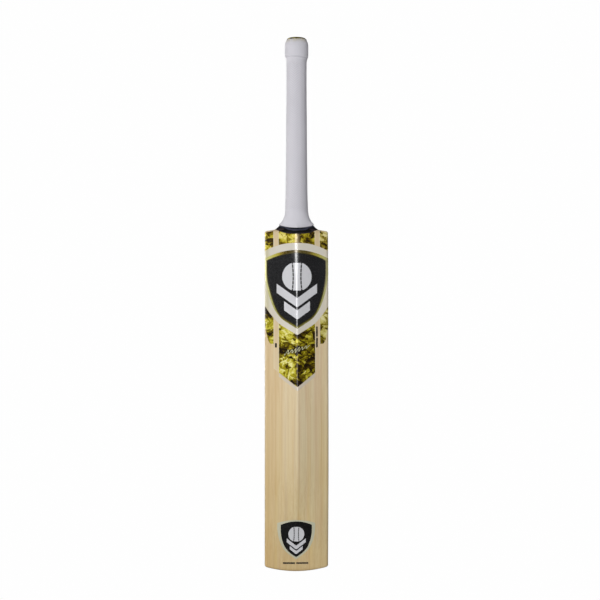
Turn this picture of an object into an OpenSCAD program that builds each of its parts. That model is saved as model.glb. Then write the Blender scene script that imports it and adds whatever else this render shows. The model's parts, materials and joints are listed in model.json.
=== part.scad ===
// Full-size cricket bat: willow blade with a V splice, laminated cane handle
// with three rubber springs, twine binding, neck tape, rubber grip and the
// adhesive labels on the spine side.
// Frame: +Z runs from the toe to the handle end, the hitting face looks along
// +Y, the spine side looks along -Y, and Z = 0 is the lowest point of the toe.
// Left is -X and right is +X; x = 0 is the middle of the blade.

/* [Blade] */
// Length of the blade from the toe to the shoulder line
blade_len = 561; // [545:1:575]
// Width of the blade across its edges
blade_w = 104.5; // [100:0.5:108]
// Greatest depth from the hitting face to the spine
spine_depth = 63; // [58:0.5:67]
// Greatest thickness of each edge
edge_depth = 38; // [34:0.5:40]
// Rise of the toe line from the middle to the edges
toe_sag = 5.6; // [3:0.2:8]
// Edge radius along the hitting face
face_edge_r = 7; // [5:0.5:8]
// Edge radius along the spine side
back_edge_r = 4; // [3:0.5:5]

/* [Handle] */
// Length of the handle above the shoulder line
handle_len = 319; // [305:1:330]
// Distance from the hitting face back to the handle axis
handle_inset = 20; // [19.6:0.1:21]
// Outside radius of the grip at its slimmest place
grip_r = 16.8; // [16.4:0.1:17.4]
// Outside radius of the grip collar at the top
collar_r = 19.55; // [19:0.05:19.6]
// Height of the collar's straight band
collar_h = 16; // [12:1:20]
// Radius of the round label on the handle end
end_label_r = 11.2; // [9:0.1:11.3]

/* [Splice and lamination] */
// Distance from the shoulder line down to the point of the V splice
splice_drop = 146; // [130:1:155]
// Half width of the splice at the shoulder line
splice_half = 13.9; // [12.5:0.1:14]
// Height of the willow horns above the shoulder line
horn_h = 24; // [22:1:26]
// Thickness of each rubber spring
spring_t = 1.5; // [1:0.1:2]
// Depth of one cane slab, middle of spring to middle of spring
slab_t = 7.375; // [7:0.05:7.5]
// Distance of the strip joints from the middle plane
strip_x = 4.8; // [4:0.1:5.2]
// Thickness of the glue line round the V splice
glue_t = 0.2; // [0.15:0.01:0.3]
// Height of one turn of the twine binding
twine_pitch = 3; // [2:0.5:4]

/* [Labels] */
// Thickness of one label layer
film_t = 0.12; // [0.1:0.01:0.16]
// Distance from the middle to the inner edge of a long stripe
stripe_in = 29.8; // [28:0.1:31]
// Distance from the middle to the outer edge of a long stripe
stripe_out = 38.2; // [36:0.1:40]
// Half width of the dark field of the shield
shield_half = 47.8; // [45:0.1:48]
// Height of the toe badge's point above the toe
toe_badge_z = 24.2; // [20:0.1:30]

/* [Hidden] */
blade_half = blade_w/2;
face_y = spine_depth/2;
axis_y = face_y - handle_inset;
shoulder_z = blade_len;
end_z = blade_len + handle_len;
splice_z = shoulder_z - splice_drop;      // point of the splice
horn_z = shoulder_z + horn_h;             // top of the horns
splice_slope = splice_half/splice_drop;   // half width gained per mm of height
round_fn = 96;

willow = [0.84, 0.75, 0.58];
cane = [0.74, 0.58, 0.34];
spring_rubber = [.25, .24, .23];
glue = [.62, .47, .24];
twine = [.86, .83, .74];
grip_rubber = [.82, .81, .84];
gold = [0.72, 0.64, 0.20];
pale = [0.88, 0.85, 0.83];
dark = [0.12, 0.125, 0.13];
silver = [0.81, 0.81, 0.82];
beige = [0.85, 0.78, 0.68];

// ---------- helper functions ----------
function mix(a, b, t) = a + (b - a)*t;
function smooth_step(a, b, v) = let (t = max(0, min(1, (v - a)/(b - a)))) t*t*(3 - 2*t);
// n + 1 even steps from a to b
function steps(a, b, n) = [for (i = [0:n]) mix(a, b, i/n)];
// list starting at 0, with its negative counterpart put before it
function mirrored(half) = concat([for (i = [len(half)-1:-1:1]) -half[i]], half);

// smooth (cubic Hermite) curve through a table of [position, value]
function segment(table, v, i = 0) =
  (i >= len(table) - 2 || v < table[i+1][0]) ? i : segment(table, v, i + 1);
function slope(table, i) =
  let (a = table[max(0, i - 1)], b = table[min(len(table) - 1, i + 1)])
  (b[1] - a[1])/(b[0] - a[0]);
function curve(table, v) =
  let (last = len(table) - 1)
  v <= table[0][0] ? table[0][1] :
  v >= table[last][0] ? table[last][1] :
  let (i = segment(table, v),
       span = table[i+1][0] - table[i][0],
       t = (v - table[i][0])/span,
       slope_a = slope(table, i)*span,
       slope_b = slope(table, i + 1)*span)
  (2*t*t*t - 3*t*t + 1)*table[i][1] + (t*t*t - 2*t*t + t)*slope_a
    + (3*t*t - 2*t*t*t)*table[i+1][1] + (t*t*t - t*t)*slope_b;

// ---------- form of the blade ----------
// [share of blade length, share of spine_depth]
spine_shares = [[0, .50], [.05, .56], [.11, .665], [.18, .80], [.27, .94], [.38, 1],
  [.46, .985], [.59, .905], [.75, .78], [.89, .67], [1, .60]];
// [share of blade length, share of edge_depth]
edge_shares = [[0, .64], [.05, .69], [.11, .78], [.18, .885], [.27, .97], [.38, 1],
  [.46, .985], [.59, .91], [.75, .79], [.89, .66], [1, .53]];
function spine_d(z) = spine_depth*min(1, curve(spine_shares, z/shoulder_z));
function edge_d(z) = edge_depth*min(1, curve(edge_shares, z/shoulder_z));

// [height above the shoulder line, half width]: parallel edges, rounded
// shoulder corners, then the neck cove
neck_halves = [[-6, blade_half], [-3.5, blade_half - .05], [-2, blade_half - .4],
  [-1, blade_half - 1.3], [-.2, 49.2], [.5, 44.6], [1.3, 39.6], [2.3, 35.6], [3.5, 33.2],
  [5.1, 31], [6.8, 29.3], [8.5, 27.6], [10, 26.1], [13.3, 23.2], [16.6, 20.9],
  [19.9, 19.1], [23.2, 17.9], [26.5, 16.95], [31, 16.25]];
// [height above the shoulder line, change of the face plane in y]
face_recess = [[-6, 0], [-3, -.15], [-1, -.6], [.5, -1.3], [2.5, -2.2], [5, -2.85],
  [10, -3.2], [31, -3.7]];
neck_start_z = shoulder_z - 6;
function half_w(z) = z < neck_start_z ? blade_half : curve(neck_halves, z - shoulder_z);
function front_y(z) = z < neck_start_z ? face_y : face_y + curve(face_recess, z - shoulder_z);

// change from the blade's section (0) to the round section of the neck (1)
function roundness(z) = smooth_step(shoulder_z - 1, shoulder_z + 17, z);
// half depth of the neck at a share of its half width; the factor just under
// 1 keeps a little thickness at the sides
function neck_arc(share, z) =
  mix(16.8, 16.3, (z - shoulder_z - 10)/21)*sqrt(1 - .998*share*share);

// height of the back between edge (0) and spine (1): a soft crown at the toe
// that turns into a roof with a smoothed ridge
ridge_soft = .035;
roof_power = 1.13;
function ridge_run(share) = sqrt(share*share + ridge_soft*ridge_soft) - ridge_soft;
function roof(share, z) =
  mix(1 - share*share,
      pow(max(0, 1 - ridge_run(share)/ridge_run(1)), roof_power),
      smooth_step(58, 128, z));

// how far a rounded edge falls away from the flat at distance x
function edge_fall(x, half, r) =
  let (q = max(0, abs(x) - (half - r))) r - sqrt(max(0, r*r - q*q));
// surface of the spine side and of the face side at x, z
function back_y(x, z) =
  let (half = half_w(z), share = min(1, abs(x)/half), edge = edge_d(z), t = roundness(z),
    flat = face_y - (edge + (spine_d(z) - edge)*roof(share, z))
      + edge_fall(x, half, back_edge_r))
  t <= 0 ? flat : mix(flat, axis_y - neck_arc(share, z), t);
function fore_y(x, z) =
  let (half = half_w(z), share = min(1, abs(x)/half), t = roundness(z),
    flat = front_y(z) - edge_fall(x, half, face_edge_r))
  t <= 0 ? flat : mix(flat, axis_y + neck_arc(share, z), t);

// places across the section, as shares of the half width
ring_shares = mirrored([0, .03, .09, .2, .36, .53, .7, .84, .92, .965, .99, 1]);

// [height above the toe line, inset of the section]: the rounded toe
toe_rows = [[0, 3.6], [.5, 2], [1.6, .8], [3.2, .2], [5.5, 0], [9, 0]];
toe_top = 9;
mid_n = 26;
mid_rows = [for (i = [1:mid_n]) mix(toe_top, shoulder_z - 9, i/mid_n)];
// heights of the neck rows
neck_rows = [for (rise = [-6, -3.8, -2.4, -1.3, -.5, .3, 1.1, 2.2, 3.5, 5.1, 7, 9,
  11.5, 14.5, 18, 21, horn_h]) shoulder_z + rise];

// one ring of the blade: back chain left to right, then face chain right to
// left; bow is the share of the toe line's rise that the ring follows
function ring(base_z, inset, bow) = concat(
  [for (share = ring_shares)
    let (z = base_z + bow*toe_sag*share*share, half = half_w(z))
    [share*(half - inset),
     min(back_y(share*half, z) + inset, face_y - inset - 1), z]],
  [for (i = [len(ring_shares)-1:-1:0])
    let (share = ring_shares[i], z = base_z + bow*toe_sag*share*share, half = half_w(z))
    [share*(half - inset), fore_y(share*half, z) - inset*.8, z]]);

// closed solid through rings, each a back chain and a face chain of n points
module skin(rings, n) {
  size = 2*n;
  top = (len(rings) - 1)*size;
  sides = [for (i = [0:len(rings)-2]) for (j = [0:size-1])
    let (a = i*size + j, b = i*size + (j + 1)%size, c = b + size, d = a + size)
    each [[a, d, c], [a, c, b]]];
  toe_cap = [for (j = [0:n-2])
    each [[j, j+1, size-2-j], [j, size-2-j, size-1-j]]];
  top_cap = [for (j = [0:n-2])
    each [[top+j, top+size-2-j, top+j+1], [top+j, top+size-1-j, top+size-2-j]]];
  polyhedron(points = [for (r = rings) each r], faces = concat(sides, toe_cap, top_cap),
    convexity = 6);
}

module blade_form() {
  skin(concat(
    [for (row = toe_rows) ring(row[0], row[1], 1)],
    [for (z = mid_rows) ring(z, 0, 1 - smooth_step(toe_top, 90, z))],
    [for (z = neck_rows) ring(z, 0, 0)]), len(ring_shares));
}

// ---------- splice and handle core ----------
core_foot_z = splice_z + 5;   // blunt lower end of the cane
glue_foot_z = splice_z + 3;   // blunt lower end of the glue and its slot

function splice_x(z) = splice_slope*(z - splice_z);

// wedge of the splice across the whole depth, grown sideways
module wedge(grow, low_z, high_z) {
  low_x = splice_x(low_z) + grow;
  high_x = splice_x(high_z) + grow;
  rotate([90, 0, 0]) translate([0, 0, -face_y - 5]) linear_extrude(spine_depth + 10)
    polygon([[-low_x, low_z], [low_x, low_z], [high_x, high_z], [-high_x, high_z]]);
}

// middle of the blade and neck between its back and front surfaces
zone_rows = concat(steps(splice_z - 4, shoulder_z - 9, 10), neck_rows);
zone_xs = mirrored([0, 1.6, 3.2, 6, 10, 14, 17.5]);
module zone() {
  skin([for (z = zone_rows) concat(
    [for (x = zone_xs) [x, back_y(x, z), z]],
    [for (i = [len(zone_xs)-1:-1:0]) [zone_xs[i], fore_y(zone_xs[i], z), z]])],
    len(zone_xs));
}

// [height above the shoulder line, radius of the cane]
cane_radii = [[0, 18], [10, 16.8], [24, 16.4], [31, 16.2], [54, 15.3], [83, 14.9],
  [132, 14.35], [182, grip_r - 2.75], [222, grip_r - 3.1], [handle_len - 42, grip_r - 3.1]];
core_end_z = end_z - .3;
// [radius, z] up the cane and round the swelling under the collar
core_points = concat(
  [for (row = cane_radii) [row[1], shoulder_z + row[0]]],
  [[collar_r - 4.6, end_z - 34], [collar_r - 3.2, end_z - 30], [collar_r - 3.2, end_z - 14],
   [collar_r - 3.6, end_z - 10], [collar_r - 4.6, end_z - 6], [collar_r - 6.2, end_z - 2.6],
   [end_label_r + .3, core_end_z]]);
core_table = [for (p = core_points) [p[1], p[0]]];
function core_r(z) = lookup(z, core_table);

module core_form() {
  translate([0, axis_y, 0]) rotate_extrude($fn = round_fn)
    polygon(concat([[0, shoulder_z]], core_points, [[0, core_end_z]]));
}

// the whole glued core: wedge between the horns below, turned handle above
module core_part() {
  intersection() {
    wedge(0, core_foot_z, horn_z);
    zone();
  }
  intersection() {
    core_form();
    translate([-30, face_y - 60, horn_z - .01]) cube([60, 80, end_z - horn_z + 1]);
  }
}

// lower ends of the springs, back to front
spring_low_z = [shoulder_z + 39, shoulder_z - 81, shoulder_z + 39];
// space of spring i, open past the handle end
module spring_box(i) {
  translate([-30, axis_y + (i - 1)*slab_t - spring_t/2, spring_low_z[i]])
    cube([60, spring_t, end_z]);
}

// cuts between slabs in depth from the handle axis, and between columns in x;
// the outermost values lie clear of the cane
slab_cuts = [-60, -slab_t, 0, slab_t, 60];
column_cuts = [-40, -strip_x, strip_x, 40];
// one cane strip: slab 0 to 3 from back to front, column 0 to 2 from left to right
module strip(slab, column) {
  low_x = column_cuts[column];
  low_y = slab_cuts[slab];
  color(cane) difference() {
    intersection() {
      core_part();
      translate([low_x, axis_y + low_y, splice_z])
        cube([column_cuts[column + 1] - low_x, slab_cuts[slab + 1] - low_y, end_z]);
    }
    if (slab < 3) spring_box(slab);
    if (slab > 0) spring_box(slab - 1);
  }
}
module cane_back_left() strip(0, 0);
module cane_back_mid() strip(0, 1);
module cane_back_right() strip(0, 2);
module cane_inner_back_left() strip(1, 0);
module cane_inner_back_mid() strip(1, 1);
module cane_inner_back_right() strip(1, 2);
module cane_inner_front_left() strip(2, 0);
module cane_inner_front_mid() strip(2, 1);
module cane_inner_front_right() strip(2, 2);
module cane_front_left() strip(3, 0);
module cane_front_mid() strip(3, 1);
module cane_front_right() strip(3, 2);

module spring(i) {
  color(spring_rubber) intersection() {
    core_part();
    spring_box(i);
  }
}
module spring_back() spring(0);
module spring_centre() spring(1);
module spring_front() spring(2);

module splice_glue() {
  color(glue) difference() {
    intersection() {
      wedge(glue_t, glue_foot_z, shoulder_z - .5);
      zone();
    }
    wedge(0, core_foot_z, shoulder_z + 20);
  }
}

module blade() {
  color(willow) difference() {
    blade_form();
    wedge(glue_t, glue_foot_z, horn_z + 20);
  }
}

// ---------- twine binding ----------
twine_low_z = shoulder_z + 42;
twine_limit_z = end_z - 15;
twine_turns = floor((twine_limit_z - twine_low_z)/twine_pitch);
twine_high_z = twine_low_z + twine_turns*twine_pitch;
twine_gap = .02;      // between cane and twine
twine_crest = .82;    // heights above the cane
twine_groove = .42;
twine_end = .3;

// outside of the twine, from the top turn down
twine_ridges = [for (i = [twine_turns:-1:0])
  let (z = twine_low_z + i*twine_pitch, crest_z = twine_low_z + (i + .5)*twine_pitch)
  each concat(
    i < twine_turns ? [[core_r(crest_z) + twine_crest, crest_z]] : [],
    [[core_r(z) + (i == twine_turns || i == 0 ? twine_end : twine_groove), z]])];
module handle_twine() {
  color(twine) translate([0, axis_y, 0]) rotate_extrude($fn = round_fn) polygon(concat(
    [for (p = core_points) if (p[1] > twine_low_z + .1 && p[1] < twine_high_z - .1)
      [p[0] + twine_gap, p[1]]],
    twine_ridges,
    [[core_r(twine_low_z) + twine_gap, twine_low_z]]));
}

// ---------- neck tape and grip ----------
// Tube wrapped round the neck from gap_in to gap_out outside the willow.
// shares: places across the half width; rows: shares of the height from the
// lower lip to top_z; low_back, low_front: lip height at a share
function around(share, z, gap, back) =
  let (x = share*half_w(z))
  [share*(half_w(z) + gap), back ? back_y(x, z) - gap : fore_y(x, z) + gap, z];
function loop(shares, t, gap, top_z, low_back, low_front) = concat(
  [for (share = shares) around(share, mix(low_back(share), top_z, t), gap, true)],
  [for (i = [len(shares)-1:-1:0])
    around(shares[i], mix(low_front(shares[i]), top_z, t), gap, false)]);
module wrap(shares, rows, gap_in, gap_out, top_z, low_back, low_front) {
  size = 2*len(shares);
  top = (len(rows) - 1)*size;
  inner = len(rows)*size;   // index of the first inner point
  points = [for (gap = [gap_out, gap_in]) for (t = rows)
    each loop(shares, t, gap, top_z, low_back, low_front)];
  faces = [for (j = [0:size-1])
    let (next = (j + 1)%size, p = top + j, q = top + next)
    each concat(
      [for (i = [0:len(rows)-2])
        let (a = i*size + j, b = i*size + next, c = b + size, d = a + size)
        each [[a, d, c], [a, c, b],
          [inner+a, inner+c, inner+d], [inner+a, inner+b, inner+c]]],
      [[j, next, inner+next], [j, inner+next, inner+j]],
      [[p, inner+q, q], [p, inner+p, inner+q]])];
  polyhedron(points = points, faces = faces, convexity = 8);
}

tape_t = .9;   // outside of the tape above the willow
tape_shares = mirrored([0, .09, .2, .36, .53, .7, .84, .93, .985, 1]);
// lower lip of the tape on the back: low over the spine, rising to the sides
function tape_lip(x) = shoulder_z - 5.6 + .000507*pow(abs(x), 2.73);
// height where the lip meets a share of the half width, found by n halvings
function lip_z(share, low, high, n) =
  let (mid = (low + high)/2)
  n == 0 ? mid :
  mid > tape_lip(share*half_w(mid)) ? lip_z(share, low, mid, n - 1) :
  lip_z(share, mid, high, n - 1);
module neck_tape() {
  color(dark) wrap(tape_shares, [0, .05, .12, .22, .36, .52, .7, 1],
    gap_in = .2, gap_out = tape_t, top_z = shoulder_z + 38,
    low_back = function (share) lip_z(share, shoulder_z - 7, shoulder_z + 8, 12),
    low_front = function (share) shoulder_z + 2.6);
}

grip_low_z = shoulder_z + 30.7;   // lower end of the turned part
// [radius, z] up the outside of the grip
grip_outside = [
  [19.28, grip_low_z], [19.0, shoulder_z + 37], [18.85, shoulder_z + 44],
  [18.4, shoulder_z + 54], [18.0, shoulder_z + 83], [17.45, shoulder_z + 132],
  [grip_r + .35, shoulder_z + 182], [grip_r, shoulder_z + 222],
  [grip_r, end_z - 42.5], [grip_r + .2, end_z - 38.3], [17.9, end_z - 35.1],
  [18.4, end_z - 33.2], [18.95, end_z - 31.4], [collar_r, end_z - 30],
  [collar_r, end_z - 30 + collar_h], [collar_r - .9, end_z - 8.7],
  [collar_r - 2.15, end_z - 5.5], [collar_r - 2.75, end_z - 3.8],
  [collar_r - 4.4, end_z - 2.1], [end_label_r + 1.1, end_z - .5],
  [end_label_r + .4, end_z - .3]];
bore_gap = .05;         // clear of the bare cane
bore_twine_gap = .9;    // clear of the twine
// core points strictly between two heights, from the top down, moved outwards
function core_down(low_z, high_z, gap) =
  [for (i = [len(core_points)-1:-1:0]) let (p = core_points[i])
    if (p[1] > low_z && p[1] < high_z) [p[0] + gap, p[1]]];
// [radius, z] down the inside of the grip
grip_inside = concat(
  [[end_label_r + .35, end_z - .35]],
  core_down(twine_limit_z, core_end_z, bore_gap),
  [[core_r(twine_limit_z) + bore_gap, twine_limit_z + .6],
   [core_r(twine_limit_z) + bore_twine_gap, twine_limit_z + .3]],
  core_down(shoulder_z + 31, twine_limit_z, bore_twine_gap),
  [[core_r(grip_low_z) + 1.2, grip_low_z]]);
skirt_shares = mirrored([0, .25, .5, .72, .88, .97, 1]);
// turned sleeve above and a skirt over the taped neck below
module rubber_grip() {
  color(grip_rubber) {
    translate([0, axis_y, 0]) rotate_extrude($fn = round_fn)
      polygon(concat(grip_outside, grip_inside));
    wrap(skirt_shares, [0, .12, .26, .42, .58, .76, 1],
      gap_in = tape_t + .3, gap_out = tape_t + 2.05, top_z = shoulder_z + 33,
      low_back = function (share) shoulder_z + 4.4 + 5.2*share*share,
      low_front = function (share) shoulder_z + 6.5 + 3.1*share*share);
  }
}

end_label_t = .28;
module handle_end_label() {
  color(gold) translate([0, axis_y, end_z - end_label_t])
    cylinder(r = end_label_r, h = end_label_t, $fn = round_fn);
}

// ---------- label film ----------
film_gap = .05;              // between the wood and the lowest layer
layer_pitch = film_t + .04;  // from one layer to the next

// Closed skin of film on the back of the blade: columns at xs, each from
// low(x) to high(x) in a number of rows; layer 0 is next to the wood
module film(xs, low, high, rows, layer = 0) {
  lift = film_gap + layer*layer_pitch;
  size = rows + 1;
  inner = len(xs)*size;   // index of the first point on the wood side
  points = [for (off = [lift + film_t, lift]) for (x = xs) for (i = [0:rows])
    let (z = mix(low(x), high(x), i/rows)) [x, back_y(x, z) - off, z]];
  sheets = [for (col = [0:len(xs)-2]) for (i = [0:rows-1])
    let (a = col*size + i, b = a + size)
    each [[a, a+1, b+1], [a, b+1, b],
      [inner+a, inner+b+1, inner+a+1], [inner+a, inner+b, inner+b+1]]];
  ends = [for (col = [0:len(xs)-2])
    let (a = col*size, b = a + size, c = a + rows, d = b + rows)
    each [[a, b, inner+b], [a, inner+b, inner+a],
      [c, inner+d, d], [c, inner+c, inner+d]]];
  sides = [for (i = [0:rows-1])
    let (b = (len(xs) - 1)*size + i)
    each [[i, inner+i+1, i+1], [i, inner+i, inner+i+1],
      [b, b+1, inner+b+1], [b, inner+b+1, inner+b]]];
  polyhedron(points = points, faces = concat(sheets, ends, sides), convexity = 4);
}

// columns over a symmetric film, over the blade's whole width and over one side
film_shares = mirrored([0, .035, .075, .12, .2, .32, .46, .6, .72, .82, .9, .96, 1]);
function spread(reach, x_mid = 0) = [for (share = film_shares) share*reach + x_mid];
full_xs = [for (share = ring_shares) if (abs(share) < .995) share*blade_half];
right_xs = concat([stripe_out + .3],
  [for (share = [.78, .84, .92, .965, .99]) share*blade_half]);
left_xs = [for (i = [len(right_xs)-1:-1:0]) -right_xs[i]];

// upper edge of a label: highest in the middle, lower by sag at half
function arch(x, top_z, sag, half, power = 2) = top_z - sag*pow(abs(x)/half, power);

// upright bar
module bar(xs, low_z, high_z, rows = 1, layer = 0) {
  film(xs, function (x) low_z, function (x) high_z, rows, layer);
}

// ball cut by two upright seams at seam_x either side of its middle
module ball(z_mid, r, seam_x, side_steps, side_rows, band_xs, band_rows, layer, x_mid = 0) {
  low = function (x) z_mid - sqrt(r*r - pow(x - x_mid, 2));
  high = function (x) z_mid + sqrt(r*r - pow(x - x_mid, 2));
  for (xs = [steps(-r + .05, -seam_x, side_steps), steps(seam_x, r - .05, side_steps)])
    film([for (x = xs) x + x_mid], low, high, side_rows, layer);
  film([for (x = band_xs) x + x_mid], low, high, band_rows, layer);
}

// V-shaped band, lowest in the middle
module chevron(half, low_z, high_z, rise, rows, layer, x_mid = 0) {
  film(spread(half, x_mid),
    function (x) low_z + rise*abs(x - x_mid),
    function (x) high_z + rise*abs(x - x_mid), rows, layer);
}

// ---------- shield badge ----------
// lower edges as [distance from the middle, height from the shoulder line]
border_table = [[0, -171.2], [15, -162], [28.9, -152.7], [37.4, -143.7],
  [44.9, -134.2], [52, -123.5]];
rim_table = [[0, -160.7], [12, -153], [24.9, -143.5], [34.4, -131], [40, -117],
  [44, -103], [48, -86], [50.3, -70], [51.3, -52]];
field_table = [[0, -156.5], [10, -150.5], [20.9, -143.5], [29.4, -134], [35.9, -120],
  [38.5, -112], [42.5, -98], [45.9, -83], [47.4, -66], [47.8, -56]];
field_scale = shield_half/47.8;   // against the half width in the table

border_low = function (x) shoulder_z + curve(border_table, abs(x));
border_top = function (x) arch(x, shoulder_z - 20.6, 12.4, 51, 2.3);

module badge_border() {
  color(pale) film(full_xs, border_low, border_top, rows = 10);
}
module badge_rim() {
  color(gold) film(spread(blade_half - 1.4),
    function (x) shoulder_z + curve(rim_table, abs(x)),
    function (x) arch(x, shoulder_z - 33, 10.8, 51), rows = 10, layer = 1);
}
module badge_field() {
  color(dark) film(spread(shield_half - .1),
    function (x) shoulder_z + curve(field_table, abs(x)/field_scale),
    function (x) arch(x, shoulder_z - 37.7, 11.9, shield_half, 1.9), rows = 10, layer = 2);
}
// a ball over two chevrons
module badge_emblem() {
  color(silver) {
    ball(z_mid = shoulder_z - 76, r = 24, seam_x = 7.6, side_steps = 12, side_rows = 5,
      band_xs = mirrored([0, 1.6, 3.4, 5.4]), band_rows = 6, layer = 3);
    for (i = [0, 1])
      chevron(half = 33 - 12*i, low_z = shoulder_z - 126 - 20*i,
        high_z = shoulder_z - 111 - 20*i, rise = .72, rows = 2, layer = 3);
  }
}

// ---------- shoulder foils, stripes, wings and panel ----------
// [half width, height above the shoulder line]: the shoulder's top edge, read
// from the neck rows between its corner and the cove
shoulder_top = concat([[30, 5.6]],
  [for (i = [8:-1:1]) [neck_halves[i][1], neck_halves[i][0]]]);
// the shoulder films end under the tape in the middle and just below the
// shoulder's top edge at the sides
foil_high = function (x)
  min(tape_lip(x) + .5, shoulder_z + curve(shoulder_top, abs(x)) - 1);
foil_low = function (x) border_top(x) + 1;

module shoulder_foil(xs, rows) {
  color(gold) film(xs, foil_low, foil_high, rows);
}
module shoulder_foil_left() shoulder_foil(left_xs, 4);
module shoulder_foil_right() shoulder_foil(right_xs, 4);
module shoulder_foil_centre() shoulder_foil(spread(stripe_in - .3), 3);

panel_side_z = shoulder_z - 232.5;
panel_tip_z = shoulder_z - 256;
panel_xs = spread(stripe_in - .4);
panel_low = function (x) mix(panel_tip_z, panel_side_z, abs(x)/stripe_in);
under_border = function (x) border_low(x) - 1;

// one piece above the shield and one below it
module stripe(xs) {
  color(beige) {
    film(xs, foil_low, foil_high, rows = 3);
    film(xs, function (x) panel_side_z - 1 + .8*(abs(x) - stripe_in), under_border,
      rows = 8);
  }
}
module stripe_left() stripe(steps(-stripe_out, -stripe_in, 3));
module stripe_right() stripe(steps(stripe_in, stripe_out, 3));

// [distance from the middle, height from the shoulder line]
wing_table = [[38, -186.5], [43.9, -185.6], [46.6, -181], [48.9, -174], [50.4, -166],
  [52, -157]];
module wing(xs) {
  color(gold) film(xs, function (x) shoulder_z + curve(wing_table, abs(x)), under_border,
    rows = 7);
}
module wing_foil_left() wing(left_xs);
module wing_foil_right() wing(right_xs);

module panel_foil() {
  color(gold) film(panel_xs, panel_low, under_border, rows = 9);
}
module panel_border() {
  color(pale) film(panel_xs, function (x) panel_low(x) - 6.6,
    function (x) panel_low(x) - .6, rows = 2);
}

// plain wavy flourish across the panel
wave_len = 7.4;
wave_h = 2.3;
wave_half_t = .6;
function wave(x) = shoulder_z - 195.5 + .3*x + wave_h*sin(x*360/wave_len);
module panel_flourish() {
  color(silver) film(steps(-18.5, 20, 38), function (x) wave(x) - wave_half_t,
    function (x) wave(x) + wave_half_t, rows = 1, layer = 1);
}

// one small bar on the left stripe and two on the right
module stripe_bars() {
  color(dark) {
    bar(steps(-36, -33, 2), shoulder_z - 192.2, shoulder_z - 185.2, layer = 1);
    bar(steps(31.4, 34, 2), shoulder_z - 174.5, shoulder_z - 158, rows = 2, layer = 1);
    bar(steps(31.4, 34, 2), shoulder_z - 192, shoulder_z - 176, rows = 2, layer = 1);
  }
}

// ---------- toe badge: a small shield on the same pattern ----------
toe_x = -1.2;            // middle of the badge
toe_border_half = 31.2;
toe_field_half = 25.6;
// lower edges as [distance from the badge's middle, height above its point]
toe_border_table = [[0, -3.6], [8, 2.2], [15, 8], [20.5, 14.4], [25.5, 24], [29, 36],
  [toe_border_half, 52]];
toe_field_table = [[0, 0], [7, 5], [13, 10.4], [18, 17], [22, 27], [24.4, 38],
  [toe_field_half, 52.6]];

module toe_shield(half, table, top, sag, layer) {
  film(spread(half, toe_x),
    function (x) toe_badge_z + curve(table, abs(x - toe_x)),
    function (x) arch(x - toe_x, toe_badge_z + top, sag, half), rows = 4, layer = layer);
}
module toe_badge_border() {
  color(pale) toe_shield(toe_border_half, toe_border_table, top = 61, sag = 5.2, layer = 0);
}
module toe_badge_field() {
  color(dark) toe_shield(toe_field_half, toe_field_table, top = 58.7, sag = 5.6, layer = 1);
}
module toe_badge_emblem() {
  color(silver) {
    ball(z_mid = toe_badge_z + 38.6, r = 13, seam_x = 4.2, side_steps = 8, side_rows = 2,
      band_xs = mirrored([0, 1.5, 3]), band_rows = 2, layer = 2, x_mid = toe_x);
    for (i = [0, 1])
      chevron(half = 15.5 - 5*i, low_z = toe_badge_z + 13 - 8*i,
        high_z = toe_badge_z + 19.4 - 9*i, rise = .8, rows = 1, layer = 2, x_mid = toe_x);
  }
}

// two flat bars side by side below the toe badge
module toe_bars() {
  color(dark) for (xs = [steps(-22.8, -3, 4), [-1, 1.6, 6, 12, 18.8]])
    bar(xs, 12.6, 15.2);
}

blade();
cane_back_left();
cane_back_mid();
cane_back_right();
cane_inner_back_left();
cane_inner_back_mid();
cane_inner_back_right();
cane_inner_front_left();
cane_inner_front_mid();
cane_inner_front_right();
cane_front_left();
cane_front_mid();
cane_front_right();
spring_back();
spring_centre();
spring_front();
splice_glue();
handle_twine();
neck_tape();
rubber_grip();
handle_end_label();
shoulder_foil_left();
shoulder_foil_centre();
shoulder_foil_right();
stripe_left();
stripe_right();
badge_border();
badge_rim();
badge_field();
badge_emblem();
wing_foil_left();
wing_foil_right();
panel_foil();
panel_border();
panel_flourish();
stripe_bars();
toe_badge_border();
toe_badge_field();
toe_badge_emblem();
toe_bars();
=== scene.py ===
"""A cricket bat that stands on its toe with the handle up along +Z.

The hitting face looks to +Y and the spine of the back to -Y. Left is -X and right is +X,
as seen from the spine side, where the camera stands. Shapes are worked out in
millimetres, with z = 0 at the toe. Meshes, shaders and the stage are in metres.
"""
import json
import math

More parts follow.
